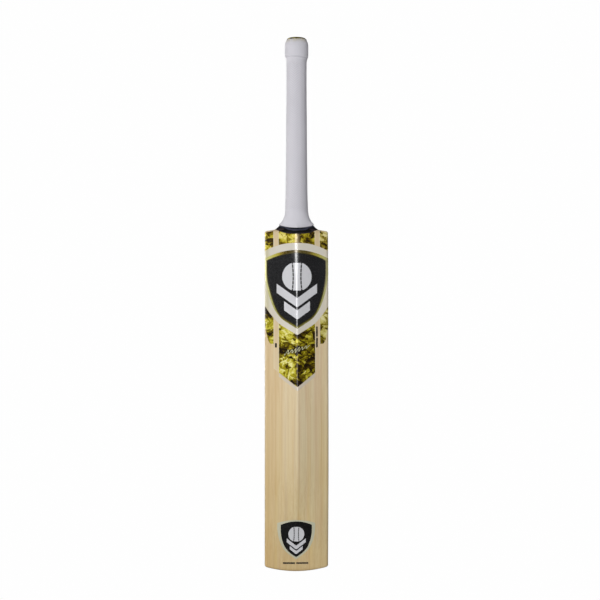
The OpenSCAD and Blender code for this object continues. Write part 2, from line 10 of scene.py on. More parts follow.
import bpy
import numpy as np
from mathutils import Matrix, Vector


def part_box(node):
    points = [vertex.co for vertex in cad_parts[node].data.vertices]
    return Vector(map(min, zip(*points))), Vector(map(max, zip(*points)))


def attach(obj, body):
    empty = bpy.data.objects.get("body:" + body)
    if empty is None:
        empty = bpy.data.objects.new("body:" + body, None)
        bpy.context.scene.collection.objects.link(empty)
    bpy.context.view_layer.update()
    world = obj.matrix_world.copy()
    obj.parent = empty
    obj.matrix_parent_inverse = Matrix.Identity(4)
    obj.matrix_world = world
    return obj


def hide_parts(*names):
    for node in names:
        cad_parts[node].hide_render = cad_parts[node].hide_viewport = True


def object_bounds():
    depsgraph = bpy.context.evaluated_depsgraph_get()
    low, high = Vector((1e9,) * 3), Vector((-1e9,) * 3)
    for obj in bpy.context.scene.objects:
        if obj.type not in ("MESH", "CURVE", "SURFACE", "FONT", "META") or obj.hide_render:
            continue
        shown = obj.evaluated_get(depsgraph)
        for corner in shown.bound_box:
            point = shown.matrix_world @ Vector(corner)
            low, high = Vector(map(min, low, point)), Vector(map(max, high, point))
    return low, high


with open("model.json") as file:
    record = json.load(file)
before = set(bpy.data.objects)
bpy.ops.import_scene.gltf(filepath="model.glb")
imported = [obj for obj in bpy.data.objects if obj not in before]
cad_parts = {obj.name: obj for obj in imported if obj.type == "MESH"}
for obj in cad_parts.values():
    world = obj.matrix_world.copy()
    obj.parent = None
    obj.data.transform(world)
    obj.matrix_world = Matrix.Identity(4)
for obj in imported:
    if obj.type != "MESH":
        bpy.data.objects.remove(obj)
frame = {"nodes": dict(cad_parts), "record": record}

# ------------------------------------------------------------ driving dimensions
MM = 0.001
CAD_LO, CAD_HI = [[float(c) for c in corner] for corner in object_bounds()]
BLADE_LO, BLADE_HI = [[c * 1000 for c in corner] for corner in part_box("blade")]
COLLAR_MOUNT = {mount["name"]: mount for mount in frame["record"]["mounts"]}["grip_collar"]

HALF_W = (BLADE_HI[0] - BLADE_LO[0]) / 2          # half width of the blade
FACE_Y = BLADE_HI[1]                              # plane of the hitting face
HANDLE_Y = COLLAR_MOUNT["pos_m"][1] * 1000        # handle axis
COLLAR_R = COLLAR_MOUNT["dims"]["r_mm"]
HORN = 24.0                                       # blade wood above the shoulder line
SHOULDER = BLADE_HI[2] - HORN
TOP = CAD_HI[2] * 1000                            # handle end
SPINE_DEPTH = 63.0
EDGE_DEPTH = 38.0
FACE_EDGE_R, BACK_EDGE_R = 7.0, 4.0               # rounding of the blade's long edges
TOE_SAG = 5.6                                     # rise of the toe from middle to edge
GRIP_R = 16.8
STRIPE_IN, STRIPE_OUT = 29.8, 38.2                # inner and outer x of the long stripes


def level(above):
    """Height in metres of a level given in mm above the shoulder."""
    return (SHOULDER + above) * MM


# ------------------------------------------------------------ form of the blade
# (share of the shoulder height, share of the full depth)
SPINE = [(0, .50), (.05, .56), (.11, .665), (.18, .80), (.27, .94), (.38, 1),
         (.46, .985), (.59, .905), (.75, .78), (.89, .67), (1, .60)]
EDGES = [(0, .64), (.05, .69), (.11, .78), (.18, .885), (.27, .97), (.38, 1),
         (.46, .985), (.59, .91), (.75, .79), (.89, .66), (1, .53)]
# (height above the shoulder, half width)
NECK = [(-6, HALF_W), (-3.5, HALF_W - .05), (-2, HALF_W - .4), (-1, HALF_W - 1.3),
        (-.2, 49.2), (.5, 44.6), (1.3, 39.6), (2.3, 35.6), (3.5, 33.2), (5.1, 31),
        (6.8, 29.3), (8.5, 27.6), (10, 26.1), (13.3, 23.2), (16.6, 20.9), (19.9, 19.1),
        (23.2, 17.9), (26.5, 16.95), (31, 16.25)]
# (height above the shoulder, y from the plane of the face)
FRONT = [(-6, 0), (-3, -.15), (-1, -.6), (.5, -1.3), (2.5, -2.2), (5, -2.85), (10, -3.2),
         (31, -3.7)]


def curve(stations, at):
    """Smooth curve through (place, value) stations, sloped by each one's neighbours."""
    places, values = np.asarray(stations, float).T
    at = np.clip(np.asarray(at, float), places[0], places[-1])
    i = np.clip(np.searchsorted(places, at, side="right") - 1, 0, len(places) - 2)
    slopes = np.empty(len(places))
    slopes[0] = (values[1] - values[0]) / (places[1] - places[0])
    slopes[-1] = (values[-1] - values[-2]) / (places[-1] - places[-2])
    slopes[1:-1] = (values[2:] - values[:-2]) / (places[2:] - places[:-2])
    step = places[i + 1] - places[i]
    t = (at - places[i]) / step
    return ((2 * t**3 - 3 * t**2 + 1) * values[i] + (t**3 - 2 * t**2 + t) * slopes[i] * step
            + (3 * t**2 - 2 * t**3) * values[i + 1] + (t**3 - t**2) * slopes[i + 1] * step)


def ease(start, end, at):
    """Smooth step from 0 at start to 1 at end; start may be the greater."""
    t = np.clip((np.asarray(at, float) - start) / (end - start), 0, 1)
    return t * t * (3 - 2 * t)


def mix(a, b, t):
    return a + (b - a) * t


def half_width(z):
    z = np.asarray(z, float)
    return np.where(z < SHOULDER - 6, HALF_W, curve(NECK, z - SHOULDER))


def front_plane(z):
    z = np.asarray(z, float)
    return np.where(z < SHOULDER - 6, FACE_Y, FACE_Y + curve(FRONT, z - SHOULDER))


def neck_r(z):
    return mix(16.8, 16.3, (z - SHOULDER - 10) / 21)


def roof(share, z):
    """Height of the back across the half width: an arch at the toe, a ridge higher up."""
    soft = .035
    slope = np.sqrt(share * share + soft * soft) - soft
    ridge = np.power(np.maximum(0, 1 - slope / (math.sqrt(1 + soft * soft) - soft)), 1.13)
    return mix(1 - share * share, ridge, ease(58, 128, z))


def across(x, z, edge_r):
    """z, share of the half width, drop of the rounded edge, and the neck's half depth."""
    x, z = np.broadcast_arrays(np.asarray(x, float), np.asarray(z, float))
    width = half_width(z)
    share = np.minimum(1, np.abs(x) / width)
    into_edge = np.maximum(0, np.abs(x) - (width - edge_r))
    arc = np.sqrt(np.maximum(0, edge_r**2 - into_edge * into_edge))
    return z, share, arc, neck_r(z) * np.sqrt(1 - .998 * share * share)


def roundness(z):
    """0 on the flat blade, 1 where the neck has become round."""
    return ease(SHOULDER - 1, SHOULDER + 17, z)


def back_y(x, z):
    z, share, arc, neck = across(x, z, BACK_EDGE_R)
    spine = SPINE_DEPTH * np.minimum(1, curve(SPINE, z / SHOULDER))
    edge = EDGE_DEPTH * np.minimum(1, curve(EDGES, z / SHOULDER))
    flat = FACE_Y - (edge + (spine - edge) * roof(share, z)) + BACK_EDGE_R - arc
    return mix(flat, HANDLE_Y - neck, roundness(z))


def face_y(x, z):
    z, share, arc, neck = across(x, z, FACE_EDGE_R)
    return mix(front_plane(z) - FACE_EDGE_R + arc, HANDLE_Y + neck, roundness(z))


# ------------------------------------------------------------ mesh tools
def make(name, points, faces, material=None, sharp=None):
    """Mesh object from points in mm, shaded smooth below the sharp angle if one is given."""
    mesh = bpy.data.meshes.new(name)
    mesh.from_pydata([tuple(p) for p in (np.asarray(points, float) * MM)], [],
                     [tuple(int(i) for i in face) for face in faces])
    mesh.validate()
    mesh.update()
    ob = bpy.data.objects.new(name, mesh)
    bpy.context.scene.collection.objects.link(ob)
    if material:
        mesh.materials.append(material)
    if sharp:
        mesh.shade_smooth()
        mesh.set_sharp_from_angle(angle=math.radians(sharp))
    return ob


def add(ob, node):
    """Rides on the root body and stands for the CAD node."""
    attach(ob, "root")
    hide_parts(node)
    return ob


def quads(*corners):
    return np.stack(corners, 1).tolist()


def loft(rings):
    """Capped solid through closed rings, bottom to top. Each ring runs along the back
    from left to right, then along the front from right to left."""
    rings = np.asarray(rings, float)
    count, around = rings.shape[:2]
    here = np.arange(around)
    after = (here + 1) % around
    faces = []
    for i in range(count - 1):
        a, b = i * around + here, i * around + after
        faces += quads(a, b, b + around, a + around)
    half = around // 2
    for j in range(half - 1):
        faces.append([j + 1, j, around - 1 - j, around - 2 - j])
    top = (count - 1) * around
    for j in range(half - 1):
        faces.append([top + j, top + j + 1, top + around - 2 - j, top + around - 1 - j])
    return rings.reshape(-1, 3), faces


def shell(outer, inner):
    """Closed tube from outer and inner stacks of rings, bottom to top."""
    outer, inner = np.asarray(outer, float), np.asarray(inner, float)
    count, around = outer.shape[:2]
    start = count * around                        # first inner point
    here = np.arange(around)
    after = (here + 1) % around
    faces = []
    for i in range(count - 1):
        low, high = i * around, (i + 1) * around
        faces += quads(low + here, low + after, high + after, high + here)
    for i in range(len(inner) - 1):
        low, high = start + i * around, start + (i + 1) * around
        faces += quads(low + after, low + here, high + here, high + after)
    faces += quads(after, here, start + here, start + after)
    top, top_in = (count - 1) * around, start + (len(inner) - 1) * around
    faces += quads(top + here, top + after, top_in + after, top_in + here)
    return np.concatenate([outer.reshape(-1, 3), inner.reshape(-1, 3)]), faces


# distances from the middle where columns stand close together over the ridge
RIDGE_X = np.array([0, .3, .6, .9, 1.3, 1.7, 2.2, 2.8, 3.5, 4.4, 5.5, 7, 9])


def columns(left, right, step=1.5):
    """x positions from left to right, close together over the ridge."""
    count = max(2, int((right - left) / step))
    xs = list(np.linspace(left, right, count + 1))
    xs += [x for r in RIDGE_X for x in (-r, r) if left + .12 < x < right - .12]
    xs = sorted(set(round(float(x), 4) for x in xs))
    kept = [xs[0]]
    for x in xs[1:-1]:
        if x - kept[-1] > .22 and xs[-1] - x > .1:
            kept.append(x)
    return np.array(kept + [xs[-1]])


# ------------------------------------------------------------ shader tools
class Field:
    """A shader value; sums of fields make math nodes."""

    def __init__(self, mat, socket):
        self.mat = mat
        self.socket = socket

    def math(self, operation, other=0.0):
        return self.mat.math(operation, self, other)

    def __add__(self, other):
        return self.math("ADD", other)

    def __sub__(self, other):
        return self.math("SUBTRACT", other)

    def __rsub__(self, other):
        return self.mat.math("SUBTRACT", other, self)

    def __mul__(self, other):
        return self.math("MULTIPLY", other)

    def __abs__(self):
        return self.math("ABSOLUTE")

    def fade(self, over, to=(0, 1), smooth=False):
        """Maps the range over onto the range to."""
        node = self.mat.node("MapRange")
        if smooth:
            node.interpolation_type = "SMOOTHSTEP"
        for i, value in enumerate((self, *over, *to)):
            self.mat.put(node.inputs[i], value)
        return Field(self.mat, node.outputs[0])


def linear(colour):
    """Linear colour of three sRGB values 0..255. A field or a linear RGBA passes through."""
    if isinstance(colour, Field) or len(colour) == 4:
        return colour
    shares = [v / 255 for v in colour]
    return tuple(v / 12.92 if v <= .04045 else ((v + .055) / 1.055) ** 2.4
                 for v in shares) + (1.0,)


def grey(value):
    return (value, value, value, 1)


class Shader:
    """A material on one Principled surface, patterned by object coordinates in metres."""

    def __init__(self, name):
        self.material = bpy.data.materials.new(name)
        self.material.use_nodes = True
        self.tree = self.material.node_tree
        self.place = Field(self, self.node("TexCoord").outputs["Object"])

    def node(self, kind):
        return self.tree.nodes.new("ShaderNode" + kind)

    def put(self, socket, value):
        if isinstance(value, Field):
            self.tree.links.new(value.socket, socket)
        else:
            socket.default_value = value

    def finish(self, **inputs):
        """Fills the named inputs of the surface and gives the material."""
        surface = self.tree.nodes["Principled BSDF"]
        for name, value in inputs.items():
            self.put(surface.inputs[name.replace("_", " ")], value)
        return self.material

    def math(self, operation, a, b):
        node = self.node("Math")
        node.operation = operation
        for i, value in enumerate((a, b, 0.0)):
            self.put(node.inputs[i], value)
        return Field(self, node.outputs[0])

    def vector(self, operation, a, b=(0, 0, 0)):
        node = self.node("VectorMath")
        node.operation = operation
        self.put(node.inputs[0], a)
        self.put(node.inputs[1], b)
        return Field(self, node.outputs[1 if operation == "DOT_PRODUCT" else 0])

    def scaled(self, scale, of=None):
        """Coordinates times a scale, given per axis or as one number."""
        scale = scale if isinstance(scale, tuple) else (scale,) * 3
        return self.vector("MULTIPLY", of or self.place, scale)

    def split(self, of=None):
        node = self.node("SeparateXYZ")
        self.put(node.inputs[0], of or self.place)
        return [Field(self, out) for out in node.outputs]

    def noise(self, scale, detail=3.0, rough=.5, of=None, output=0):
        """Noise with about scale features per metre along each axis."""
        place = self.scaled(scale, of)
        node = self.node("TexNoise")
        self.put(node.inputs["Vector"], place)
        node.inputs["Scale"].default_value = 1
        node.inputs["Detail"].default_value = detail
        node.inputs["Roughness"].default_value = rough
        return Field(self, node.outputs[output])

    def cells(self, place, metric="EUCLIDEAN"):
        """Distance and random colour of Voronoi cells."""
        node = self.node("TexVoronoi")
        node.distance = metric
        self.put(node.inputs["Vector"], place)
        node.inputs["Scale"].default_value = 1
        return Field(self, node.outputs["Distance"]), Field(self, node.outputs["Color"])

    def ramp(self, by, stops):
        node = self.node("ValToRGB")
        self.put(node.inputs[0], by)
        elements = node.color_ramp.elements
        while len(elements) < len(stops):
            elements.new(.5)
        for element, (position, colour) in zip(elements, stops):
            element.position = position
            element.color = linear(colour)
        return Field(self, node.outputs[0])

    def mix(self, amount, base, colour, blend="MIX"):
        node = self.node("Mix")
        node.data_type = "RGBA"
        node.blend_type = blend
        self.put(node.inputs[0], amount)
        self.put(node.inputs[6], linear(base))
        self.put(node.inputs[7], linear(colour))
        return Field(self, node.outputs[2])

    def multiply(self, base, colour):
        return self.mix(1.0, base, colour, "MULTIPLY")

    def tint(self, base, colour, by, over, to=(0, 1), smooth=False):
        """Mixes a colour into the base by a faded field."""
        return self.mix(by.fade(over, to, smooth), base, colour)

    def bump(self, height, strength, dist, normal=None):
        """Normal from a height field; dist is its full height in metres."""
        node = self.node("Bump")
        self.put(node.inputs["Height"], height)
        node.inputs["Strength"].default_value = strength
        node.inputs["Distance"].default_value = dist
        if normal is not None:
            self.put(node.inputs["Normal"], normal)
        return Field(self, node.outputs[0])

    def crest(self):
        """Normal with the ridge of the spine eased a little, as film bridging it does."""
        x, y, z = self.split()
        square = x * x
        wide = z.fade((level(-105), level(-22)), to=(.0030, .0082), smooth=True)
        crisp = (square + .0019 ** 2).math("SQRT")
        soft = (square + wide * wide).math("SQRT")
        return self.bump((crisp - soft) * .42, strength=1, dist=1)

    def coat(self, high, low):
        """Gloss that is stronger on the flatter upper spine than on the ridge below."""
        return self.split()[2].fade((level(-150), level(-70)), to=(low, high), smooth=True)


# ------------------------------------------------------------ materials
def willow():
    mat = Shader("willow")
    x, y, z = mat.split()
    # growth lines run up the blade; the spacing wanders a little across it
    lines_per_m = 104
    wander = mat.noise((26, 5, .55), detail=2, rough=.45)
    drift = mat.noise((5, 5, 1.5), detail=2)
    shifted = x + (wander - .5) * .011 + (drift - .5) * .004 + y * .10
    line = ((shifted + .2) * lines_per_m).math("FRACT")
    late = mat.ramp(line, [(0, grey(.10)), (.07, grey(0)), (.5, grey(.10)), (.78, grey(.34)),
                           (.90, grey(1)), (.955, grey(.85)), (1, grey(.10))])
    late = late * mat.noise((60, 20, 2.0), detail=2).fade((.3, .7), to=(.35, 1.0))
    # broad tint bands and long soft streaks
    band = mat.noise((38, 30, .8), rough=.55)
    streak = mat.noise((210, 150, 2.6), detail=4, rough=.6)
    fibre = mat.noise((1500, 1200, 16), rough=.62)
    base = mat.ramp(band, [(.28, (226, 198, 152)), (.45, (233, 214, 174)),
                           (.58, (237, 220, 182)), (.74, (230, 208, 166))])
    base = mat.tint(base, (214, 187, 140), by=streak, over=(.35, .75), to=(0, .42))
    pink = mat.noise((85, 60, 1.2), detail=2)
    base = mat.tint(base, (224, 188, 156), by=pink, over=(.54, .72), to=(0, .32))
    # warmer, darker strip along the left edge of the back
    base = mat.tint(base, (222, 188, 134), by=x, over=(-.034, -.050), to=(0, .45), smooth=True)
    base = mat.mix(late * .24, base, (192, 150, 96))
    thin = mat.noise((560, 420, 1.6), detail=2, rough=.55)
    base = mat.tint(base, (206, 168, 118), by=thin, over=(.52, .70), to=(0, .22))
    base = mat.tint(base, (242, 228, 196), by=thin, over=(.46, .30), to=(0, .18))
    base = mat.tint(base, (176, 142, 96), by=fibre, over=(.30, .72), to=(.16, 0))
    # the lower blade is darker and yellower towards the toe
    toe_darkening = mat.ramp(z.fade((0, .30)), [
        (0, (.88, .81, .64, 1)), (.10, (.90, .84, .68, 1)), (.34, (.92, .90, .79, 1)),
        (.52, (.94, .925, .85, 1)), (.74, (.975, .975, .945, 1)), (1, grey(1))])
    base = mat.multiply(base, toe_darkening)
    # painted light: the right half, past the ridge, is lifted a little brighter and cooler
    base = mat.multiply(base, mat.tint(grey(.985), (1.02, 1.04, 1.07, 1), by=x,
                                       over=(-.004, .012), smooth=True))
    # yellow and cool bands, stronger towards the toe
    hue = mat.noise((70, 40, .9), detail=2)
    low = z.fade((.36, .12), to=(.25, 1), smooth=True)
    base = mat.mix(low * hue.fade((.56, .70), to=(0, .55), smooth=True), base,
                   mat.multiply(base, (.99, .93, .74, 1)))
    base = mat.mix(low * hue.fade((.44, .30), to=(0, .60), smooth=True), base,
                   mat.multiply(base, (.96, .98, 1.12, 1)))
    # ticks of short dark fibre, in the few cells of the highest random value
    distance, colour = mat.cells(mat.scaled((520, 420, 26)))
    tick = distance.fade((.02, .12), to=(1, 0)) * mat.split(colour)[0].math("GREATER_THAN", .86)
    base = mat.mix(tick * .30, base, (150, 108, 66))
    # the cut toe end drinks more light
    base = mat.tint(base, (178, 140, 92), by=z, over=(.008, .001), to=(0, .16), smooth=True)
    return mat.finish(Base_Color=base, Roughness=fibre.fade((.2, .8), to=(.40, .56)),
                      Specular_IOR_Level=.42,
                      Normal=mat.bump(fibre * .6 + late * -.5, strength=.35, dist=.00012))


def cane():
    mat = Shader("cane")
    fibre = mat.noise((900, 900, 9), detail=4, rough=.6)
    broad = mat.noise((130, 130, 2.2), rough=.55)
    pores = mat.cells(mat.scaled((1500, 1500, 30)))[0]
    base = mat.ramp(broad, [(.3, (186, 146, 92)), (.5, (208, 172, 116)), (.72, (222, 190, 136))])
    base = mat.tint(base, (150, 108, 62), by=fibre, over=(.35, .7), to=(.4, 0))
    pore = pores.fade((.10, .32), to=(.55, 0))
    base = mat.mix(pore, base, (104, 70, 38))
    return mat.finish(Base_Color=base, Roughness=fibre.fade((.2, .8), to=(.42, .6)),
                      Specular_IOR_Level=.4,
                      Normal=mat.bump(fibre - pore, strength=.4, dist=.00012))


# layers of foil folds, coarse to fine:
# (cells per metre across, up), turn in radians, folds per metre, offset, cell metric
FOLDS = [((50, 78), .62, 52, 3.1, "MANHATTAN"), ((104, 168), -.45, 118, 11.7, "MANHATTAN"),
         ((240, 380), .20, 300, 23.3, "CHEBYCHEV")]
FOIL_TONES = [(0, (30, 18, 2)), (.14, (58, 42, 2)), (.30, (100, 84, 6)), (.46, (146, 132, 20)),
              (.60, (188, 175, 42)), (.74, (219, 209, 78)), (.88, (236, 228, 118)),
              (1, (249, 243, 165))]


def folds(mat, place, flat, size, cells, turn, per_m, offset, metric):
    """Shards of parallel folds: each cell has its own direction and phase."""
    rotate = mat.node("VectorRotate")
    rotate.rotation_type = "Y_AXIS"
    rotate.inputs["Angle"].default_value = turn
    mat.put(rotate.inputs["Vector"], place)
    wide, tall = cells[0] * size, cells[1] * size
    spot = mat.scaled((wide, wide, tall), of=Field(mat, rotate.outputs[0]))
    spot = mat.vector("ADD", spot, (offset, 0, offset * .7))
    colour = mat.cells(spot, metric)[1]
    centred = mat.vector("SUBTRACT", colour, (.5, .5, .5))
    direction = mat.vector("NORMALIZE", mat.scaled((1, 0 if flat else 1, 1), of=centred))
    phase, spacing, tone = mat.split(colour)
    along = mat.vector("DOT_PRODUCT", place, mat.scaled(per_m * size, of=direction))
    saw = (along * spacing.fade((0, 1), to=(.45, 1.25)) + phase * 7.3).math("FRACT")
    return saw - .5, tone - .5


def gold_foil(name, shade=0.0, flat=True, size=1.0, shift=(0, 0, 0)):
    """Crumpled gold print: flat shards with a light-to-dark run inside each.
    Flat foil lies on the blade's back and changes with the place on it, with painted shade on the
    right slope and beside the ridge and a painted highlight along the ridge at the shoulder."""
    mat = Shader(name)
    warp = mat.noise(40, detail=2, output=1)
    warp = mat.scaled(.007, of=mat.vector("SUBTRACT", warp, (.5, .5, .5)))
    place = mat.vector("ADD", mat.place, warp)
    if flat:
        place = mat.scaled((1, 0, 1), of=place)
    place = mat.vector("ADD", place, shift)
    coarse, medium, fine = [folds(mat, place, flat, size, *layer) for layer in FOLDS]
    broad = mat.noise((30, 0 if flat else 30, 44), detail=1, of=place)
    tone = coarse[0] * .52 + coarse[1] * .34
    for (saw, step), weight in ((medium, .36), (fine, .15)):
        tone += (saw + step) * weight
    tone += broad.fade((.3, .7), to=(-.26, .26), smooth=True)
    tone = tone * (1.10 if flat else 1.0) + (.42 + shade)
    if flat:
        x, y, z = mat.split()
        ridge, left, right = (-.0015, .0015), (-.036, -.040), (.036, .040)
        # painted shade: the right slope of the roof is darkened
        tone += x.fade(ridge, to=(.02, -.12), smooth=True)
        # the flanks: dull at the left shoulder, bright at the right wing, with a little more
        # painted shade on the right slope
        high = z.fade((level(-60), level(-40)), smooth=True)
        tone += high * (x.fade(left, to=(.125, .05), smooth=True)
                        + x.fade(ridge, to=(0, -.02), smooth=True)
                        + x.fade(right, to=(0, .19), smooth=True))
        # painted shade beside the ridge at the shoulder, where the light is reflected away
        tone += high * abs(x).fade((.003, .009), to=(-.26, 0), smooth=True)
        tone += (1 - high) * (x.fade(right, to=(0, .30), smooth=True)
                              + x.fade(left, to=(0, -.05), smooth=True))
    colour = mat.ramp(tone, FOIL_TONES)
    if flat:
        colour = mat.mix(high * .55, colour, mat.multiply(colour, (1.06, .93, .70, 1)))
        # painted highlight: a pale tan band along the ridge at the shoulder
        ridge_highlight_paint = abs(x).fade((.0015, .0065), to=(.45, 0), smooth=True)
        colour = mat.mix(high * ridge_highlight_paint, colour, (190, 168, 120))
        # a creamier print along the right edge, in the bright folds
        cream = (x.fade(right, to=(0, .36), smooth=True)
                 * tone.fade((.35, .85), smooth=True))
        colour = mat.mix(cream, colour, (226, 214, 186))
        relief = dict(Coat_Weight=mat.coat(high=.3, low=.04), Coat_Normal=mat.crest(),
                      Normal=mat.bump(tone, strength=.12, dist=.0004, normal=mat.crest()))
    else:
        relief = dict(Coat_Weight=.5, Normal=mat.bump(tone, strength=.35, dist=.0005))
    return mat.finish(Base_Color=colour, Metallic=.12, Coat_Roughness=.12,
                      Roughness=tone.fade((0, 1), to=(.36, .24)),
                      Specular_IOR_Level=.22, **relief)


def gold_rim():
    """Gold outline of the shield: pale at the sides, brown and olive at the top."""
    mat = Shader("gold_rim")
    x, y, z = mat.split()
    out = abs(x)
    cloud = mat.noise((110, 0, 60), rough=.55)
    fine = mat.noise(420, rough=.6)
    out = out + (cloud - .5) * .016
    # tones from the middle outwards
    top = mat.ramp(out.fade((0, .052)), [
        (0, (112, 90, 44)), (.10, (80, 60, 18)), (.22, (68, 52, 10)), (.34, (92, 72, 16)),
        (.46, (150, 128, 34)), (.58, (188, 170, 56)), (.72, (218, 208, 98)),
        (.86, (226, 222, 134)), (1, (214, 208, 146))])
    low = mat.ramp(out.fade((0, .050)), [
        (0, (120, 112, 40)), (.3, (150, 142, 64)), (.55, (128, 120, 44)),
        (.75, (196, 194, 112)), (1, (222, 218, 158))])
    above = z - level(0)
    low_share = above.fade((-.088, -.112), smooth=True)
    colour = mat.tint((232, 228, 156), top, by=above, over=(-.050, -.058), to=(1, 0), smooth=True)
    colour = mat.mix(low_share, colour, low)
    colour = mat.tint(colour, (150, 140, 70), by=fine, over=(.35, .65), to=(0, .25))
    # painted shade: the right slope is a shade darker
    colour = mat.tint(colour, (120, 112, 66), by=x, over=(-.002, .002), to=(0, .28))
    return mat.finish(Base_Color=colour, Metallic=.12, Coat_Weight=.5, Coat_Roughness=.1,
                      Roughness=fine.fade((.3, .7), to=(.22, .34)), Coat_Normal=mat.crest(),
                      Normal=mat.bump(fine, strength=.2, dist=.0001, normal=mat.crest()))


def stripe_film():
    """Beige stripe with a cream line along each edge."""
    mat = Shader("stripe_film")
    x, y, z = mat.split()
    out = abs(x)
    cloud = mat.noise((60, 60, 16), rough=.55)
    speck = mat.noise(1400, detail=2, rough=.6)
    peel = mat.noise(260, detail=2)
    colour = mat.tint((219, 192, 144), (224, 203, 164), by=cloud, over=(.3, .7))
    # paler further down, where the stripes run out over the bare wood
    down = z.fade((level(-150), level(-215)), smooth=True)
    colour = mat.mix(down * .5, colour, (230, 208, 170))
    inside, outside = STRIPE_IN * MM, STRIPE_OUT * MM
    inner = out.fade((inside + .0013, inside + .0007))
    outer = out.fade((outside - .0013, outside - .0007))
    colour = mat.mix(inner.math("MAXIMUM", outer) * .8, colour, (233, 222, 186))
    colour = mat.tint(colour, (240, 226, 200), by=speck, over=(.35, .65), to=(0, .08))
    return mat.finish(Base_Color=colour, Roughness=peel.fade((.3, .7), to=(.34, .46)),
                      Coat_Weight=.5, Coat_Roughness=.12,
                      Normal=mat.bump(peel, strength=.10, dist=.00008))


def printed_film(name, dark, pale, rough=.34, coat=.35, grain=.5, coat_rough=.14, sides=None):
    """Printed satin film: a faint cloud of tone, print speckle and orange peel.
    sides are the colours where it turns onto the left and right side of the blade."""
    mat = Shader(name)
    cloud = mat.noise((28, 28, 20), rough=.55)
    speck = mat.noise(1400, detail=2, rough=.6)
    peel = mat.noise(260, detail=2)
    colour = mat.tint(dark, pale, by=cloud, over=(.3, .7))
    colour = mat.tint(colour, tuple(min(255, v * 1.25 + 6) for v in pale), by=speck,
                      over=(.35, .65), to=(0, .10 * grain))
    if sides:
        x = mat.split()[0]
        colour = mat.tint(colour, sides[0], by=x, over=(-.042, -.049), smooth=True)
        colour = mat.tint(colour, sides[1], by=x, over=(.042, .049), smooth=True)
    normal = mat.bump(peel, strength=.10, dist=.00008, normal=mat.crest())
    return mat.finish(Base_Color=colour,
                      Roughness=peel.fade((.3, .7), to=(rough - .05, rough + .06)),
                      Coat_Weight=mat.coat(high=coat, low=coat * .35),
                      Coat_Roughness=coat_rough, Normal=normal, Coat_Normal=normal)


def silver_film():
    mat = Shader("silver_film")
    peel = mat.noise(240, detail=2)
    flake = mat.cells(mat.scaled(1900))[1]
    cloud = mat.noise((36, 36, 18))
    colour = mat.tint((219, 219, 221), (226, 226, 228), by=cloud, over=(.3, .7))
    colour = mat.mix(mat.split(flake)[0] * .18, colour, (178, 178, 184))
    normal = mat.bump(peel, strength=.10, dist=.00008, normal=mat.crest())
    return mat.finish(Base_Color=colour, Metallic=.06,
                      Roughness=mat.split(flake)[1].fade((0, 1), to=(.34, .46)),
                      Coat_Weight=mat.coat(high=.5, low=.12), Coat_Roughness=.10,
                      Normal=normal, Coat_Normal=normal)


def grip_rubber():
    mat = Shader("grip_rubber")
    z = mat.split()[2]
    cloud = mat.noise((26, 26, 12), rough=.55)
    skin = mat.noise(1700, rough=.65)
    dust = mat.noise((120, 120, 60), detail=4, rough=.6)
    colour = mat.tint((213, 211, 217), (219, 217, 223), by=cloud, over=(.3, .7))
    colour = mat.tint(colour, (196, 192, 197), by=dust, over=(.45, .75), to=(0, .14))
    # yellowed skin round the rim of the end
    patchy = mat.noise((140, 140, 60), detail=2).fade((.35, .6), to=(.2, .8))
    rim = z.fade(((TOP - 11) * MM, (TOP - 3) * MM), smooth=True) * patchy
    colour = mat.mix(rim, colour, (216, 208, 182))
    # painted shade: the cavities between the ribs are darkened grey, found by the mesh's pointiness
    groove_shade_paint = Field(mat, mat.node("NewGeometry").outputs["Pointiness"])
    colour = mat.tint(colour, (158, 154, 162), by=groove_shade_paint, over=(.485, .50), to=(.30, 0))
    return mat.finish(Base_Color=colour, Roughness=skin.fade((.3, .7), to=(.52, .66)),
                      Specular_IOR_Level=.4, Sheen_Weight=.08, Sheen_Roughness=.5,
                      Normal=mat.bump(skin, strength=.22, dist=.00006))


def neck_tape():
    mat = Shader("neck_tape")
    lap = mat.node("Attribute")
    lap.attribute_name = "lap"
    weave = mat.noise((380, 380, 2600), rough=.6)
    cloud = mat.noise((90, 90, 140), rough=.6)
    # laps up from the lip, in mm, with painted highlights as paler grey-blue bands where each lap
    # rises over the one below
    up = Field(mat, lap.outputs["Fac"]) + cloud.fade((.3, .7), to=(-.7, .7))
    colour = mat.ramp(up.fade((0, 13)), [
        (0, (56, 46, 48)), (.10, (34, 30, 33)), (.20, (11, 12, 13)), (.34, (9, 10, 12)),
        (.42, (66, 66, 80)), (.54, (48, 50, 62)), (.62, (15, 18, 20)), (.78, (20, 25, 25)),
        (.90, (34, 38, 40)), (1, (16, 20, 21))])
    colour = mat.tint(colour, (46, 50, 54), by=weave, over=(.5, .75), to=(0, .25))
    return mat.finish(Base_Color=colour, Roughness=weave.fade((.3, .7), to=(.62, .78)),
                      Specular_IOR_Level=.12, Normal=mat.bump(weave, strength=.3, dist=.0001))


def spring_rubber():
    mat = Shader("spring_rubber")
    fine = mat.noise(700, detail=4, rough=.6)
    cloud = mat.noise((50, 50, 20), detail=2)
    colour = mat.tint((62, 56, 52), (84, 76, 70), by=cloud, over=(.3, .7))
    colour = mat.tint(colour, (110, 102, 94), by=fine, over=(.4, .7), to=(0, .3))
    return mat.finish(Base_Color=colour, Roughness=fine.fade((.3, .7), to=(.6, .8)),
                      Normal=mat.bump(fine, strength=.4, dist=.0001))


def glue():
    mat = Shader("glue")
    cloud = mat.noise((300, 300, 60), rough=.6)
    colour = mat.tint((132, 92, 46), (170, 126, 70), by=cloud, over=(.3, .7))
    return mat.finish(Base_Color=colour, Roughness=cloud.fade((.3, .7), to=(.25, .45)),
                      Coat_Weight=.3, Normal=mat.bump(cloud, strength=.3, dist=.00008))


